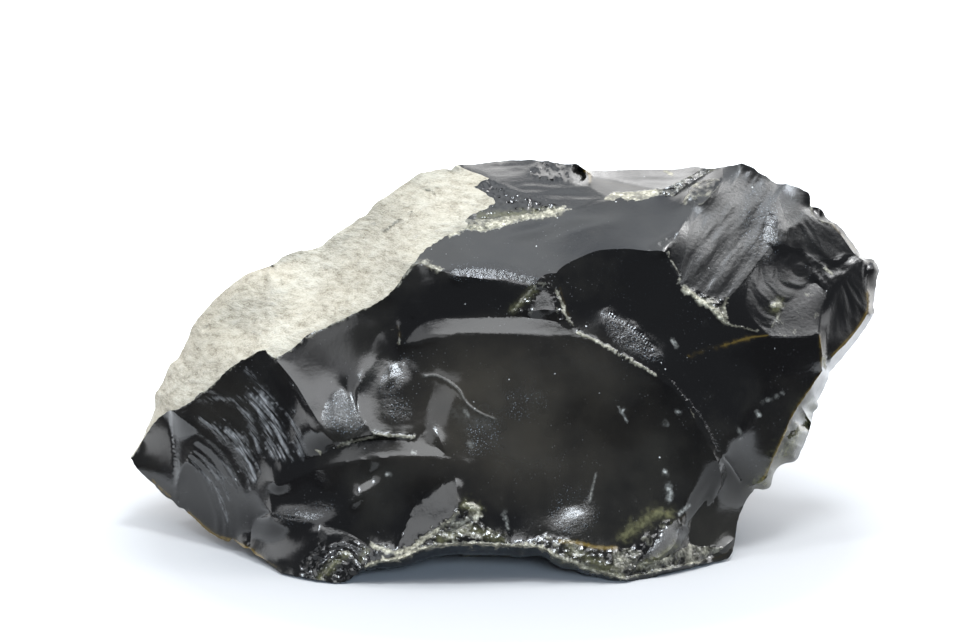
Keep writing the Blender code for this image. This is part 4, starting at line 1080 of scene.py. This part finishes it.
for l in blines:
    brim = np.minimum(brim, near_line(BVt, l, 8.0)[0])
brim = np.minimum(brim, near_line(BVt, np.vstack([AB, AB[:1]]), 8.0)[0])


def bverts(*keys):
    m = np.zeros(nB, bool)
    for k in keys:
        if BRN.get(k, -1) >= 0:
            m[np.unique(BT[breg == BRN[k]])] = True
    return m


Q3 = from_ab(BVt, H)
bsoft = np.clip(brim / 1.6, 0, 1)
bcr = np.zeros(nB); bam = np.zeros(nB); bha = np.zeros(nB); bol = np.zeros(nB)
for k, at, wl, amp, rough in BACK_RIPPLES:
    m = bverts(k)
    if not m.any():
        continue
    r_ = np.linalg.norm(Q3 - np.array(at, float), axis=1) + fbm(Q3, 0.05, 2, 310) * 4.5
    fade = np.clip(1.25 - r_ / 55.0, 0.15, 1)
    wv = np.sin(2 * np.pi * (np.abs(r_) / wl) ** 0.9)
    wv = np.sign(wv) * np.abs(wv) ** 0.8
    H += np.where(m, wv * amp * fade * bsoft * 0.5 * np.clip(0.6 + fbm(Q3, 0.05, 2, 315) * 2.0, 0.1, 1.4), 0)
    d = Q3 - np.array(at, float)
    th = np.arctan2(d @ gb, d[:, 0])
    hk = vnoise(np.stack([th * 14, r_ * 0.05], 1), 1.0, 320)
    band = np.clip((np.sin(r_ * 0.16 + 1.3) - 0.35) * 2, 0, 1) * np.clip(hk * 2 - 0.7, 0, 1) * rough * 0.35
    bha = np.maximum(bha, np.where(m, band * np.clip(brim / 2, 0, 1), 0))
    H -= np.where(m, band * 0.12 * bsoft, 0)
bc = bverts(*BACK_CRUST)
H += np.where(bc, (fbm(Q3, 0.09, 3, 330) * 0.9 + fbm(Q3, 0.9, 3, 331) * 0.16) * np.clip(brim / 2.5, 0, 1), 0)
H += np.where(~bc, fbm(Q3, 0.06, 2, 340) * 0.35 * np.clip(brim / 4, 0, 1), 0)
# crushed and see-through edges at the back
edge = np.exp(-(brim / 0.55) ** 2)
patch = np.clip(fbm(Q3, 0.045, 2, 350) * 2.6, 0, 1)
bcr = np.maximum(bcr, edge * np.clip(patch - 0.62, 0, 1) * 1.1)
H += bcr * ridged(Q3, 1.4, 2, 351) * 0.18 * (~bon)
drim = near_line(BVt, np.vstack([AB, AB[:1]]), 8.0)[0]
bam = np.exp(-(drim / 1.1) ** 1.6) * np.clip(fbm(Q3, 0.03, 2, 360) * 2.2 + 0.35, 0, 1)
rest = BRN.get('rest', -1)
vs = np.unique(BT[breg == rest])
H[vs] = BVt[vs, 1] / math.tan(EB)
Q3 = from_ab(BVt, H)
Q3[bon] = OUT3[bisl[bon]]
Q3[vs, 2] = 0.0
Q3[:, 2] = np.maximum(Q3[:, 2], 0)
BCRUST = np.zeros(len(BT), bool)
for k in BACK_CRUST:
    if BRN.get(k, -1) >= 0:
        BCRUST |= breg == BRN[k]
for r in range(breg.max() + 1):
    f = breg == r
    if r not in BRN.values() and f.any():
        mid_ = Q3[BT[f]].mean((0, 1))
        if mid_[0] < -15 and mid_[2] > 40:
            BCRUST |= f

# ------------------------------------------------------------------ one closed mesh
loop_at = np.full(len(OUTC), -1)
for j in np.where(on)[0]:
    loop_at[isl[j]] = j
mapb = np.arange(nB) + nV
for j in np.where(bon)[0]:
    if loop_at[bisl[j]] >= 0:
        mapb[j] = loop_at[bisl[j]]
P = np.vstack([PF, Q3])
F = np.vstack([T, mapb[BT]])
crust_face = np.concatenate([SLOT_CRUST, BCRUST])
# a ridge may meet the outline between two of its points; such extra points close onto the nearest one
shared = np.zeros(len(P), bool)
shared[loop_at[loop_at >= 0]] = True
ed = np.sort(np.vstack([F[:, [0, 1]], F[:, [1, 2]], F[:, [2, 0]]]), axis=1)
ue, cnt = np.unique(ed, axis=0, return_counts=True)
open_e = ue[cnt == 1]
remap = np.arange(len(P))
for x in np.unique(open_e):
    if shared[x]:
        continue
    nb = [int(a if b == x else b) for a, b in open_e if x in (a, b)]
    nb = [n for n in nb if shared[n]]
    if nb:
        nb.sort(key=lambda n: ((n < nV) != (x < nV), np.hypot(*(P[n] - P[x])[[0, 2]])))
        remap[x] = nb[0]
F = remap[F]
whole = (F[:, 0] != F[:, 1]) & (F[:, 1] != F[:, 2]) & (F[:, 2] != F[:, 0])
F = F[whole]
crust_face = crust_face[whole]
att = {
    'crush': np.concatenate([crush, bcr]), 'amber': np.concatenate([amber, bam]), 'hackle': np.concatenate([hackle, bha]),
    'olive': np.concatenate([olive, bol]), 'white': np.concatenate([white, np.zeros(nB)]),
    'satin': np.concatenate([satin, np.zeros(nB)]), 'spark': np.concatenate([spark, np.zeros(nB)]),
}
used = np.unique(F)
back = np.full(len(P), -1)
back[used] = np.arange(len(used))
F = back[F]
P = P[used] + SHIFT
att = {k: v[used] for k, v in att.items()}
# outward faces
A_, B_, C_ = P[F[:, 0]], P[F[:, 1]], P[F[:, 2]]
nr = np.cross(B_ - A_, C_ - A_)
half = np.arange(len(F)) < len(T)
for h in (half, ~half):
    want = np.array([0, -1.0, 0.25]) if h is half else eb
    if (nr[h] @ want).sum() < 0:
        F[h] = F[h][:, ::-1]
mesh = bpy.data.meshes.new('obsidian_surface')
mesh.from_pydata((P * 0.001).tolist(), [], F.tolist())
mesh.validate(verbose=False)
mesh.update()
print('mesh', len(mesh.vertices), len(mesh.polygons))

for name, val in att.items():
    a = mesh.attributes.new(name, 'FLOAT', 'POINT')
    a.data.foreach_set('value', val.astype(np.float32))


# ------------------------------------------------------------------ materials
class Nodes:
    """short hand for building a node tree"""

    def __init__(self, tree):
        self.t = tree

    def n(self, kind, **kw):
        x = self.t.nodes.new(kind)
        for k, v in kw.items():
            setattr(x, k, v)
        return x

    def put(self, socket, val):
        if isinstance(val, bpy.types.NodeSocket):
            self.t.links.new(val, socket)
        else:
            socket.default_value = val

    def math(self, op, a, b=None, c=None, clamp=False):
        x = self.n('ShaderNodeMath', operation=op, use_clamp=clamp)
        for i, v in enumerate((a, b, c)):
            if v is not None:
                self.put(x.inputs[i], v)
        return x.outputs[0]

    def attr(self, name):
        return self.n('ShaderNodeAttribute', attribute_name=name, attribute_type='GEOMETRY').outputs['Fac']

    def noise(self, vec, scale, detail=3.0, rough=0.5, kind='FBM'):
        x = self.n('ShaderNodeTexNoise', noise_dimensions='3D')
        self.put(x.inputs['Vector'], vec)
        x.inputs['Scale'].default_value = scale
        x.inputs['Detail'].default_value = detail
        x.inputs['Roughness'].default_value = rough
        return x.outputs['Fac']

    def ramp(self, fac, *stops):
        x = self.n('ShaderNodeValToRGB')
        e = x.color_ramp.elements
        while len(e) < len(stops):
            e.new(0.5)
        for el, (p, c) in zip(e, stops):
            el.position = p
            el.color = (*c, 1.0) if len(c) == 3 else c
        self.put(x.inputs['Fac'], fac)
        return x.outputs['Color']

    def mix(self, fac, a, b):
        x = self.n('ShaderNodeMix', data_type='RGBA')
        self.put(x.inputs['Factor'], fac)
        self.put(x.inputs['A'] if False else x.inputs[6], a)
        self.put(x.inputs[7], b)
        return x.outputs[2]

    def map(self, v, a0, a1, b0, b1):
        x = self.n('ShaderNodeMapRange', clamp=True)
        self.put(x.inputs['Value'], v)
        x.inputs['From Min'].default_value = a0
        x.inputs['From Max'].default_value = a1
        x.inputs['To Min'].default_value = b0
        x.inputs['To Max'].default_value = b1
        return x.outputs['Result']

    def bump(self, height, strength, distance, normal=None):
        x = self.n('ShaderNodeBump')
        self.put(x.inputs['Height'], height)
        x.inputs['Strength'].default_value = strength
        x.inputs['Distance'].default_value = distance
        if normal is not None:
            self.put(x.inputs['Normal'], normal)
        return x.outputs['Normal']


def c4(r, g, b):
    return (r, g, b, 1.0)


def glass_material():
    m = bpy.data.materials.new('obsidian_glass')
    m.use_nodes = True
    N = Nodes(m.node_tree)
    bs = m.node_tree.nodes['Principled BSDF']
    co = N.n('ShaderNodeTexCoord').outputs['Object']
    crush, amber, hackle, olive, white, satin, spark = [N.attr(k) for k in ('crush', 'amber', 'hackle', 'olive', 'white', 'satin', 'spark')]
    # black glass with faint smoky brown clouds
    cloud = N.map(N.noise(co, 30.0, 5.0, 0.62), 0.46, 0.72, 0.0, 1.0)
    base = N.mix(cloud, c4(0.0014, 0.0014, 0.0015), c4(0.013, 0.0118, 0.0092))
    # one larger smoky patch lies in the middle of the big front scar
    so = N.n('ShaderNodeSeparateXYZ')
    N.put(so.inputs[0], co)
    hx = N.math('MULTIPLY_ADD', so.outputs[0], 1 / 0.026, -0.002 / 0.026)
    hz = N.math('MULTIPLY_ADD', so.outputs[2], 1 / 0.017, -0.032 / 0.017)
    hr = N.math('ADD', N.math('MULTIPLY', hx, hx), N.math('MULTIPLY', hz, hz))
    smoke = N.math('MULTIPLY', N.map(hr, 0.2, 1.3, 1.0, 0.0), N.map(N.noise(co, 55.0, 4.0, 0.62), 0.34, 0.66, 0.25, 1.0))
    base = N.mix(smoke, base, c4(0.0205, 0.0175, 0.0130))
    # see-through rims: brown, then olive yellow at the very edge
    rim = N.ramp(amber, (0.0, (0.003, 0.003, 0.003)), (0.30, (0.018, 0.012, 0.003)), (0.65, (0.085, 0.055, 0.011)), (1.0, (0.26, 0.20, 0.06)))
    base = N.mix(N.map(amber, 0.02, 0.4, 0.0, 1.0), base, rim)
    ol = N.ramp(N.noise(co, 900.0, 3.0, 0.6), (0.3, (0.035, 0.033, 0.014)), (0.7, (0.19, 0.18, 0.09)))
    base = N.mix(N.math('MULTIPLY', olive, 0.8), base, ol)
    grain = N.noise(co, 1500.0, 4.0, 0.65)
    mid = N.noise(co, 420.0, 3.0, 0.6)
    cr = N.ramp(N.math('MULTIPLY_ADD', grain, 0.6, N.math('MULTIPLY', mid, 0.4)), (0.32, (0.03, 0.029, 0.022)), (0.5, (0.17, 0.155, 0.11)), (0.68, (0.58, 0.54, 0.43)))
    crf = N.math('MULTIPLY', N.map(N.math('ADD', crush, N.math('MULTIPLY_ADD', mid, 0.9, -0.45)), 0.25, 0.75, 0.0, 1.0), N.map(crush, 0.02, 0.15, 0.0, 1.0))
    base = N.mix(crf, base, cr)
    # hackle scratches run as fine arcs around the striking point at the lower left
    sx = N.n('ShaderNodeSeparateXYZ')
    N.put(sx.inputs[0], co)
    ax = N.math('ADD', sx.outputs[0], 0.0742)
    az = N.math('ADD', sx.outputs[2], -0.003)
    rr = N.math('SQRT', N.math('ADD', N.math('MULTIPLY', ax, ax), N.math('MULTIPLY', az, az)))
    th = N.math('ARCTAN2', az, ax)
    cv = N.n('ShaderNodeCombineXYZ')
    N.put(cv.inputs[0], rr)
    N.put(cv.inputs[1], N.math('MULTIPLY', th, 0.0035))
    arcs = N.noise(cv.outputs[0], 1500.0, 3.0, 0.6)
    hk = N.math('MULTIPLY', hackle, N.map(arcs, 0.42, 0.60, 0.0, 1.0))
    base = N.mix(N.math('MULTIPLY', hk, 0.8), base, c4(0.30, 0.30, 0.30))
    wf = N.math('MULTIPLY', white, N.math('MULTIPLY', N.map(mid, 0.3, 0.55, 0.5, 1.0), N.map(grain, 0.40, 0.58, 0.25, 1.0)))
    base = N.mix(wf, base, c4(0.52, 0.51, 0.46))
    # dust and tiny nicks
    vor = N.n('ShaderNodeTexVoronoi', feature='F1')
    N.put(vor.inputs['Vector'], co)
    vor.inputs['Scale'].default_value = 330.0
    speck = N.math('MULTIPLY', N.map(N.math('ADD', vor.outputs['Distance'], N.math('MULTIPLY_ADD', N.noise(co, 2400.0, 1.0), 0.10, -0.05)), 0.035, 0.075, 1.0, 0.0),
                   N.map(N.noise(co, 610.0, 0.0), 0.60, 0.66, 0.0, 1.0))
    base = N.mix(N.math('MULTIPLY', speck, 0.75), base, c4(0.45, 0.45, 0.43))
    vo2 = N.n('ShaderNodeTexVoronoi', feature='F1')
    N.put(vo2.inputs['Vector'], co)
    vo2.inputs['Scale'].default_value = 1150.0
    dust = N.math('MULTIPLY', N.map(vo2.outputs['Distance'], 0.06, 0.18, 1.0, 0.0), N.map(N.noise(co, 90.0, 4.0, 0.7), 0.50, 0.72, 0.0, 0.38))
    base = N.mix(dust, base, c4(0.20, 0.20, 0.20))
    # painted highlight: fine blue-white glint dots are painted into the colour of the frosted patches, where the lamp's
    # sparkle falls
    vo3 = N.n('ShaderNodeTexVoronoi', feature='F1')
    N.put(vo3.inputs['Vector'], co)
    vo3.inputs['Scale'].default_value = 2300.0
    painted_glint = N.math('MULTIPLY', N.map(vo3.outputs['Distance'], 0.10, 0.30, 1.0, 0.0), N.math('MULTIPLY', N.map(N.noise(co, 420.0, 3.0, 0.7), 0.40, 0.62, 0.05, 0.75), spark))
    base = N.mix(painted_glint, base, c4(0.30, 0.34, 0.38))
    N.put(bs.inputs['Base Color'], base)
    ro = N.math('MULTIPLY_ADD', N.noise(co, 60.0, 3.0, 0.6), 0.10, 0.075)
    ro = N.math('ADD', ro, N.math('MULTIPLY', satin, 0.20))
    ro = N.math('ADD', ro, N.math('MULTIPLY', spark, 0.12))
    ro = N.math('ADD', ro, N.math('MULTIPLY', crf, 0.52))
    ro = N.math('ADD', ro, N.math('MULTIPLY', hk, 0.38), clamp=True)
    ro = N.math('ADD', ro, N.math('MULTIPLY', speck, 0.4), clamp=True)
    N.put(bs.inputs['Roughness'], ro)
    bs.inputs['IOR'].default_value = 1.50
    # fine skin: frosting that breaks the highlights into sparks
    fr = N.noise(co, 2600.0, 3.0, 0.7)
    b1 = N.bump(fr, 0.10, 0.00012)
    b2 = N.bump(N.noise(co, 700.0, 3.0, 0.6), 0.05, 0.0004, b1)
    b2 = N.bump(N.math('MULTIPLY', N.noise(co, 1250.0, 3.0, 0.7), N.math('MULTIPLY_ADD', spark, 0.95, 0.05)), 0.38, 0.0006, b2)
    hgt = N.math('MULTIPLY', N.math('MAXIMUM', N.math('MAXIMUM', crf, hk), N.math('MULTIPLY', satin, 0.35)), grain)
    b3 = N.bump(hgt, 0.55, 0.0004, b2)
    N.put(bs.inputs['Normal'], b3)
    return m


def crust_material():
    m = bpy.data.materials.new('obsidian_crust')
    m.use_nodes = True
    N = Nodes(m.node_tree)
    bs = m.node_tree.nodes['Principled BSDF']
    co = N.n('ShaderNodeTexCoord').outputs['Object']
    mp = N.n('ShaderNodeMapping')
    mp.inputs['Rotation'].default_value = (0.0, math.radians(-35), 0.0)
    mp.inputs['Scale'].default_value = (1.0, 1.0, 3.2)
    N.put(mp.inputs['Vector'], co)
    vec = mp.outputs[0]
    big = N.noise(co, 38.0, 4.0, 0.6)
    mid = N.noise(vec, 320.0, 4.0, 0.62)
    fine = N.noise(vec, 2000.0, 4.0, 0.7)
    base = N.ramp(big, (0.3, (0.50, 0.465, 0.385)), (0.7, (0.64, 0.61, 0.53)))
    g = N.math('MULTIPLY_ADD', mid, 0.5, N.math('MULTIPLY', fine, 0.5))
    shade = N.ramp(g, (0.36, (0.270, 0.250, 0.214)), (0.47, (0.490, 0.470, 0.435)), (0.58, (0.625, 0.615, 0.590)))
    mx = N.n('ShaderNodeMix', data_type='RGBA', blend_type='MULTIPLY')
    mx.inputs['Factor'].default_value = 1.0
    N.put(mx.inputs[6], base)
    N.put(mx.inputs[7], shade)
    col = mx.outputs[2]
    spots = N.map(N.noise(co, 750.0, 2.0, 0.5), 0.66, 0.72, 0.0, 1.0)
    col = N.mix(N.math('MULTIPLY', spots, 0.45), col, c4(0.22, 0.205, 0.18))
    crush = N.attr('crush')
    col = N.mix(N.math('MULTIPLY', crush, 0.55), col, c4(0.16, 0.145, 0.11))
    N.put(bs.inputs['Base Color'], col)
    bs.inputs['Roughness'].default_value = 0.93
    bs.inputs['Specular IOR Level'].default_value = 0.25
    b1 = N.bump(fine, 0.5, 0.00035)
    b2 = N.bump(mid, 0.6, 0.0009, b1)
    N.put(bs.inputs['Normal'], b2)
    return m


glass = glass_material()
crust = crust_material()
mesh.materials.append(glass)
mesh.materials.append(crust)
mi = np.zeros(len(mesh.polygons), np.int32)
if len(mesh.polygons) == len(crust_face):
    mi[crust_face] = 1
mesh.polygons.foreach_set('material_index', mi)
mesh.shade_smooth()
mesh.set_sharp_from_angle(angle=math.radians(28))

stone = bpy.data.objects.new('obsidian_chunk_surface', mesh)
bpy.context.scene.collection.objects.link(stone)
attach(stone, 'root')
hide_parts('obsidian_chunk')

# ------------------------------------------------------------------ studio
scene = bpy.context.scene
scene.view_settings.view_transform = 'Standard'
scene.view_settings.look = 'None'
scene.view_settings.exposure = 0.0
scene.view_settings.gamma = 1.0

FLOOR_FRONT = -0.0745       # the paper ends this far in front
fm = bpy.data.meshes.new('paper')
fm.from_pydata([(-0.17, FLOOR_FRONT, 0), (0.17, FLOOR_FRONT, 0), (0.17, 0.20, 0), (0.9, 1.0, 0), (0.9, 2.4, 0), (-0.9, 2.4, 0), (-0.9, 1.0, 0), (-0.17, 0.20, 0)], [], [(0, 1, 2, 7), (7, 2, 3, 6), (6, 3, 4, 5)])
floor = bpy.data.objects.new('paper', fm)
scene.collection.objects.link(floor)
pm = bpy.data.materials.new('paper_painted_shade_near_stone')
pm.use_nodes = True
pb = pm.node_tree.nodes['Principled BSDF']
PN = Nodes(pm.node_tree)
po = PN.n('ShaderNodeTexCoord').outputs['Object']
pl = PN.n('ShaderNodeVectorMath', operation='LENGTH')
PN.put(pl.inputs[0], po)
# painted shade: the paper's colour is grey near the stone and turns white from about 7 to 20 cm out, darkening the
# floor around the stone and its reflection in the glass
PN.put(pb.inputs['Base Color'], PN.mix(PN.map(pl.outputs['Value'], 0.07, 0.20, 0.0, 1.0), c4(0.325, 0.32, 0.318), c4(0.88, 0.88, 0.88)))
pb.inputs['Roughness'].default_value = 0.9
pb.inputs['Specular IOR Level'].default_value = 0.1
fm.materials.append(pm)

world = bpy.data.worlds.new('studio')
scene.world = world
world.use_nodes = True
W = Nodes(world.node_tree)
bgn = world.node_tree.nodes['Background']
d_ = W.n('ShaderNodeTexCoord').outputs['Generated']
sp = W.n('ShaderNodeSeparateXYZ')
W.put(sp.inputs[0], d_)
wx, wy, wz = sp.outputs
hl = W.math('SQRT', W.math('MAXIMUM', W.math('SUBTRACT', 1.0, W.math('MULTIPLY', wz, wz)), 0.0001))
fr_ = W.math('DIVIDE', W.math('MULTIPLY', wy, -1.0), hl)            # 1 straight in front, -1 behind
backness = W.map(fr_, -0.30, -0.65, 0.0, 1.0)
low = W.mix(backness, c4(0.24, 0.25, 0.27), c4(2.6, 2.6, 2.6))
sideness = W.map(fr_, 0.45, -0.15, 0.0, 1.0)
mid_ = W.mix(W.math('MULTIPLY', sideness, W.map(wz, 0.64, 0.74, 0.0, 1.0)), low, c4(0.62, 0.68, 0.78))
col_ = W.mix(W.math('MULTIPLY', W.map(wz, 0.76, 0.90, 0.0, 1.0), W.math('MULTIPLY_ADD', sideness, 0.75, 0.25)), mid_, c4(2.3, 2.42, 2.55))
below = W.map(wz, -0.02, 0.02, 1.0, 0.0)
col_ = W.mix(W.math('MULTIPLY', below, W.math('SUBTRACT', 1.0, backness)), col_, c4(0.16, 0.16, 0.17))
lp_ = W.n('ShaderNodeLightPath').outputs['Is Camera Ray']
col_ = W.mix(lp_, col_, c4(1.0, 1.0, 1.0))
W.put(bgn.inputs['Color'], col_)
bgn.inputs['Strength'].default_value = 1.0


def softbox(name, az, el, dist, w, h, radiance, color, aim=(0.0, 0.0, 0.035)):
    a, e = math.radians(az), math.radians(el)
    d = Vector((math.sin(a) * math.cos(e), -math.cos(a) * math.cos(e), math.sin(e)))
    li = bpy.data.lights.new(name, 'AREA')
    li.shape = 'RECTANGLE'
    li.size, li.size_y = w, h
    li.energy = radiance * math.pi * w * h
    li.color = color
    ob = bpy.data.objects.new(name, li)
    ob.location = Vector(aim) + d * dist
    ob.rotation_euler = d.to_track_quat('Z', 'Y').to_euler()
    ob.visible_camera = False
    scene.collection.objects.link(ob)
    return ob


softbox('key', 35, 72, 1.0, 0.23, 0.23, 46.0, (0.86, 0.93, 1.0))
softbox('left_spot', -64, 51, 1.0, 0.15, 0.15, 55.0, (0.86, 0.93, 1.0))
softbox('front_top', -8, 62, 1.1, 1.15, 0.34, 4.7, (0.97, 0.985, 1.0))
softbox('front_left', -47, 37, 1.1, 0.62, 0.40, 1.8, (0.95, 0.97, 1.0))
softbox('right_top', 98, 51, 1.1, 0.76, 0.52, 4.8, (0.98, 0.99, 1.0))
softbox('right_low', 97, 7, 1.1, 0.40, 0.30, 2.0, (0.98, 0.99, 1.0))
softbox('left_high', -80, 33, 1.1, 0.40, 0.24, 2.8, (0.96, 0.98, 1.0))
softbox('left_low', -91, 5, 1.1, 0.46, 0.32, 2.4, (0.96, 0.98, 1.0))
fill_ = softbox('front_fill', 12, 20, 1.2, 0.8, 0.3, 20.0, (0.60, 0.78, 1.0))
fill_.visible_glossy = False
softbox('right_spot', 97, 52, 1.1, 0.16, 0.16, 30.0, (1.0, 0.99, 0.97))
rim_ = softbox('back_fill', -150, 46, 1.2, 0.5, 0.5, 2.0, (1.0, 0.99, 0.97))
rim_.visible_glossy = False

cam = bpy.data.cameras.new('camera')
cam.lens = 100.0
cam.sensor_width = 36.0
cam.sensor_fit = 'HORIZONTAL'
cam.clip_start = 0.01
cam.clip_end = 20.0
camo = bpy.data.objects.new('camera', cam)
scene.collection.objects.link(camo)
camo.location = Vector(((EYE + SHIFT) * 0.001).tolist())
camo.rotation_euler = (math.radians(90.0 - 12.0), 0.0, 0.0)
scene.camera = camo
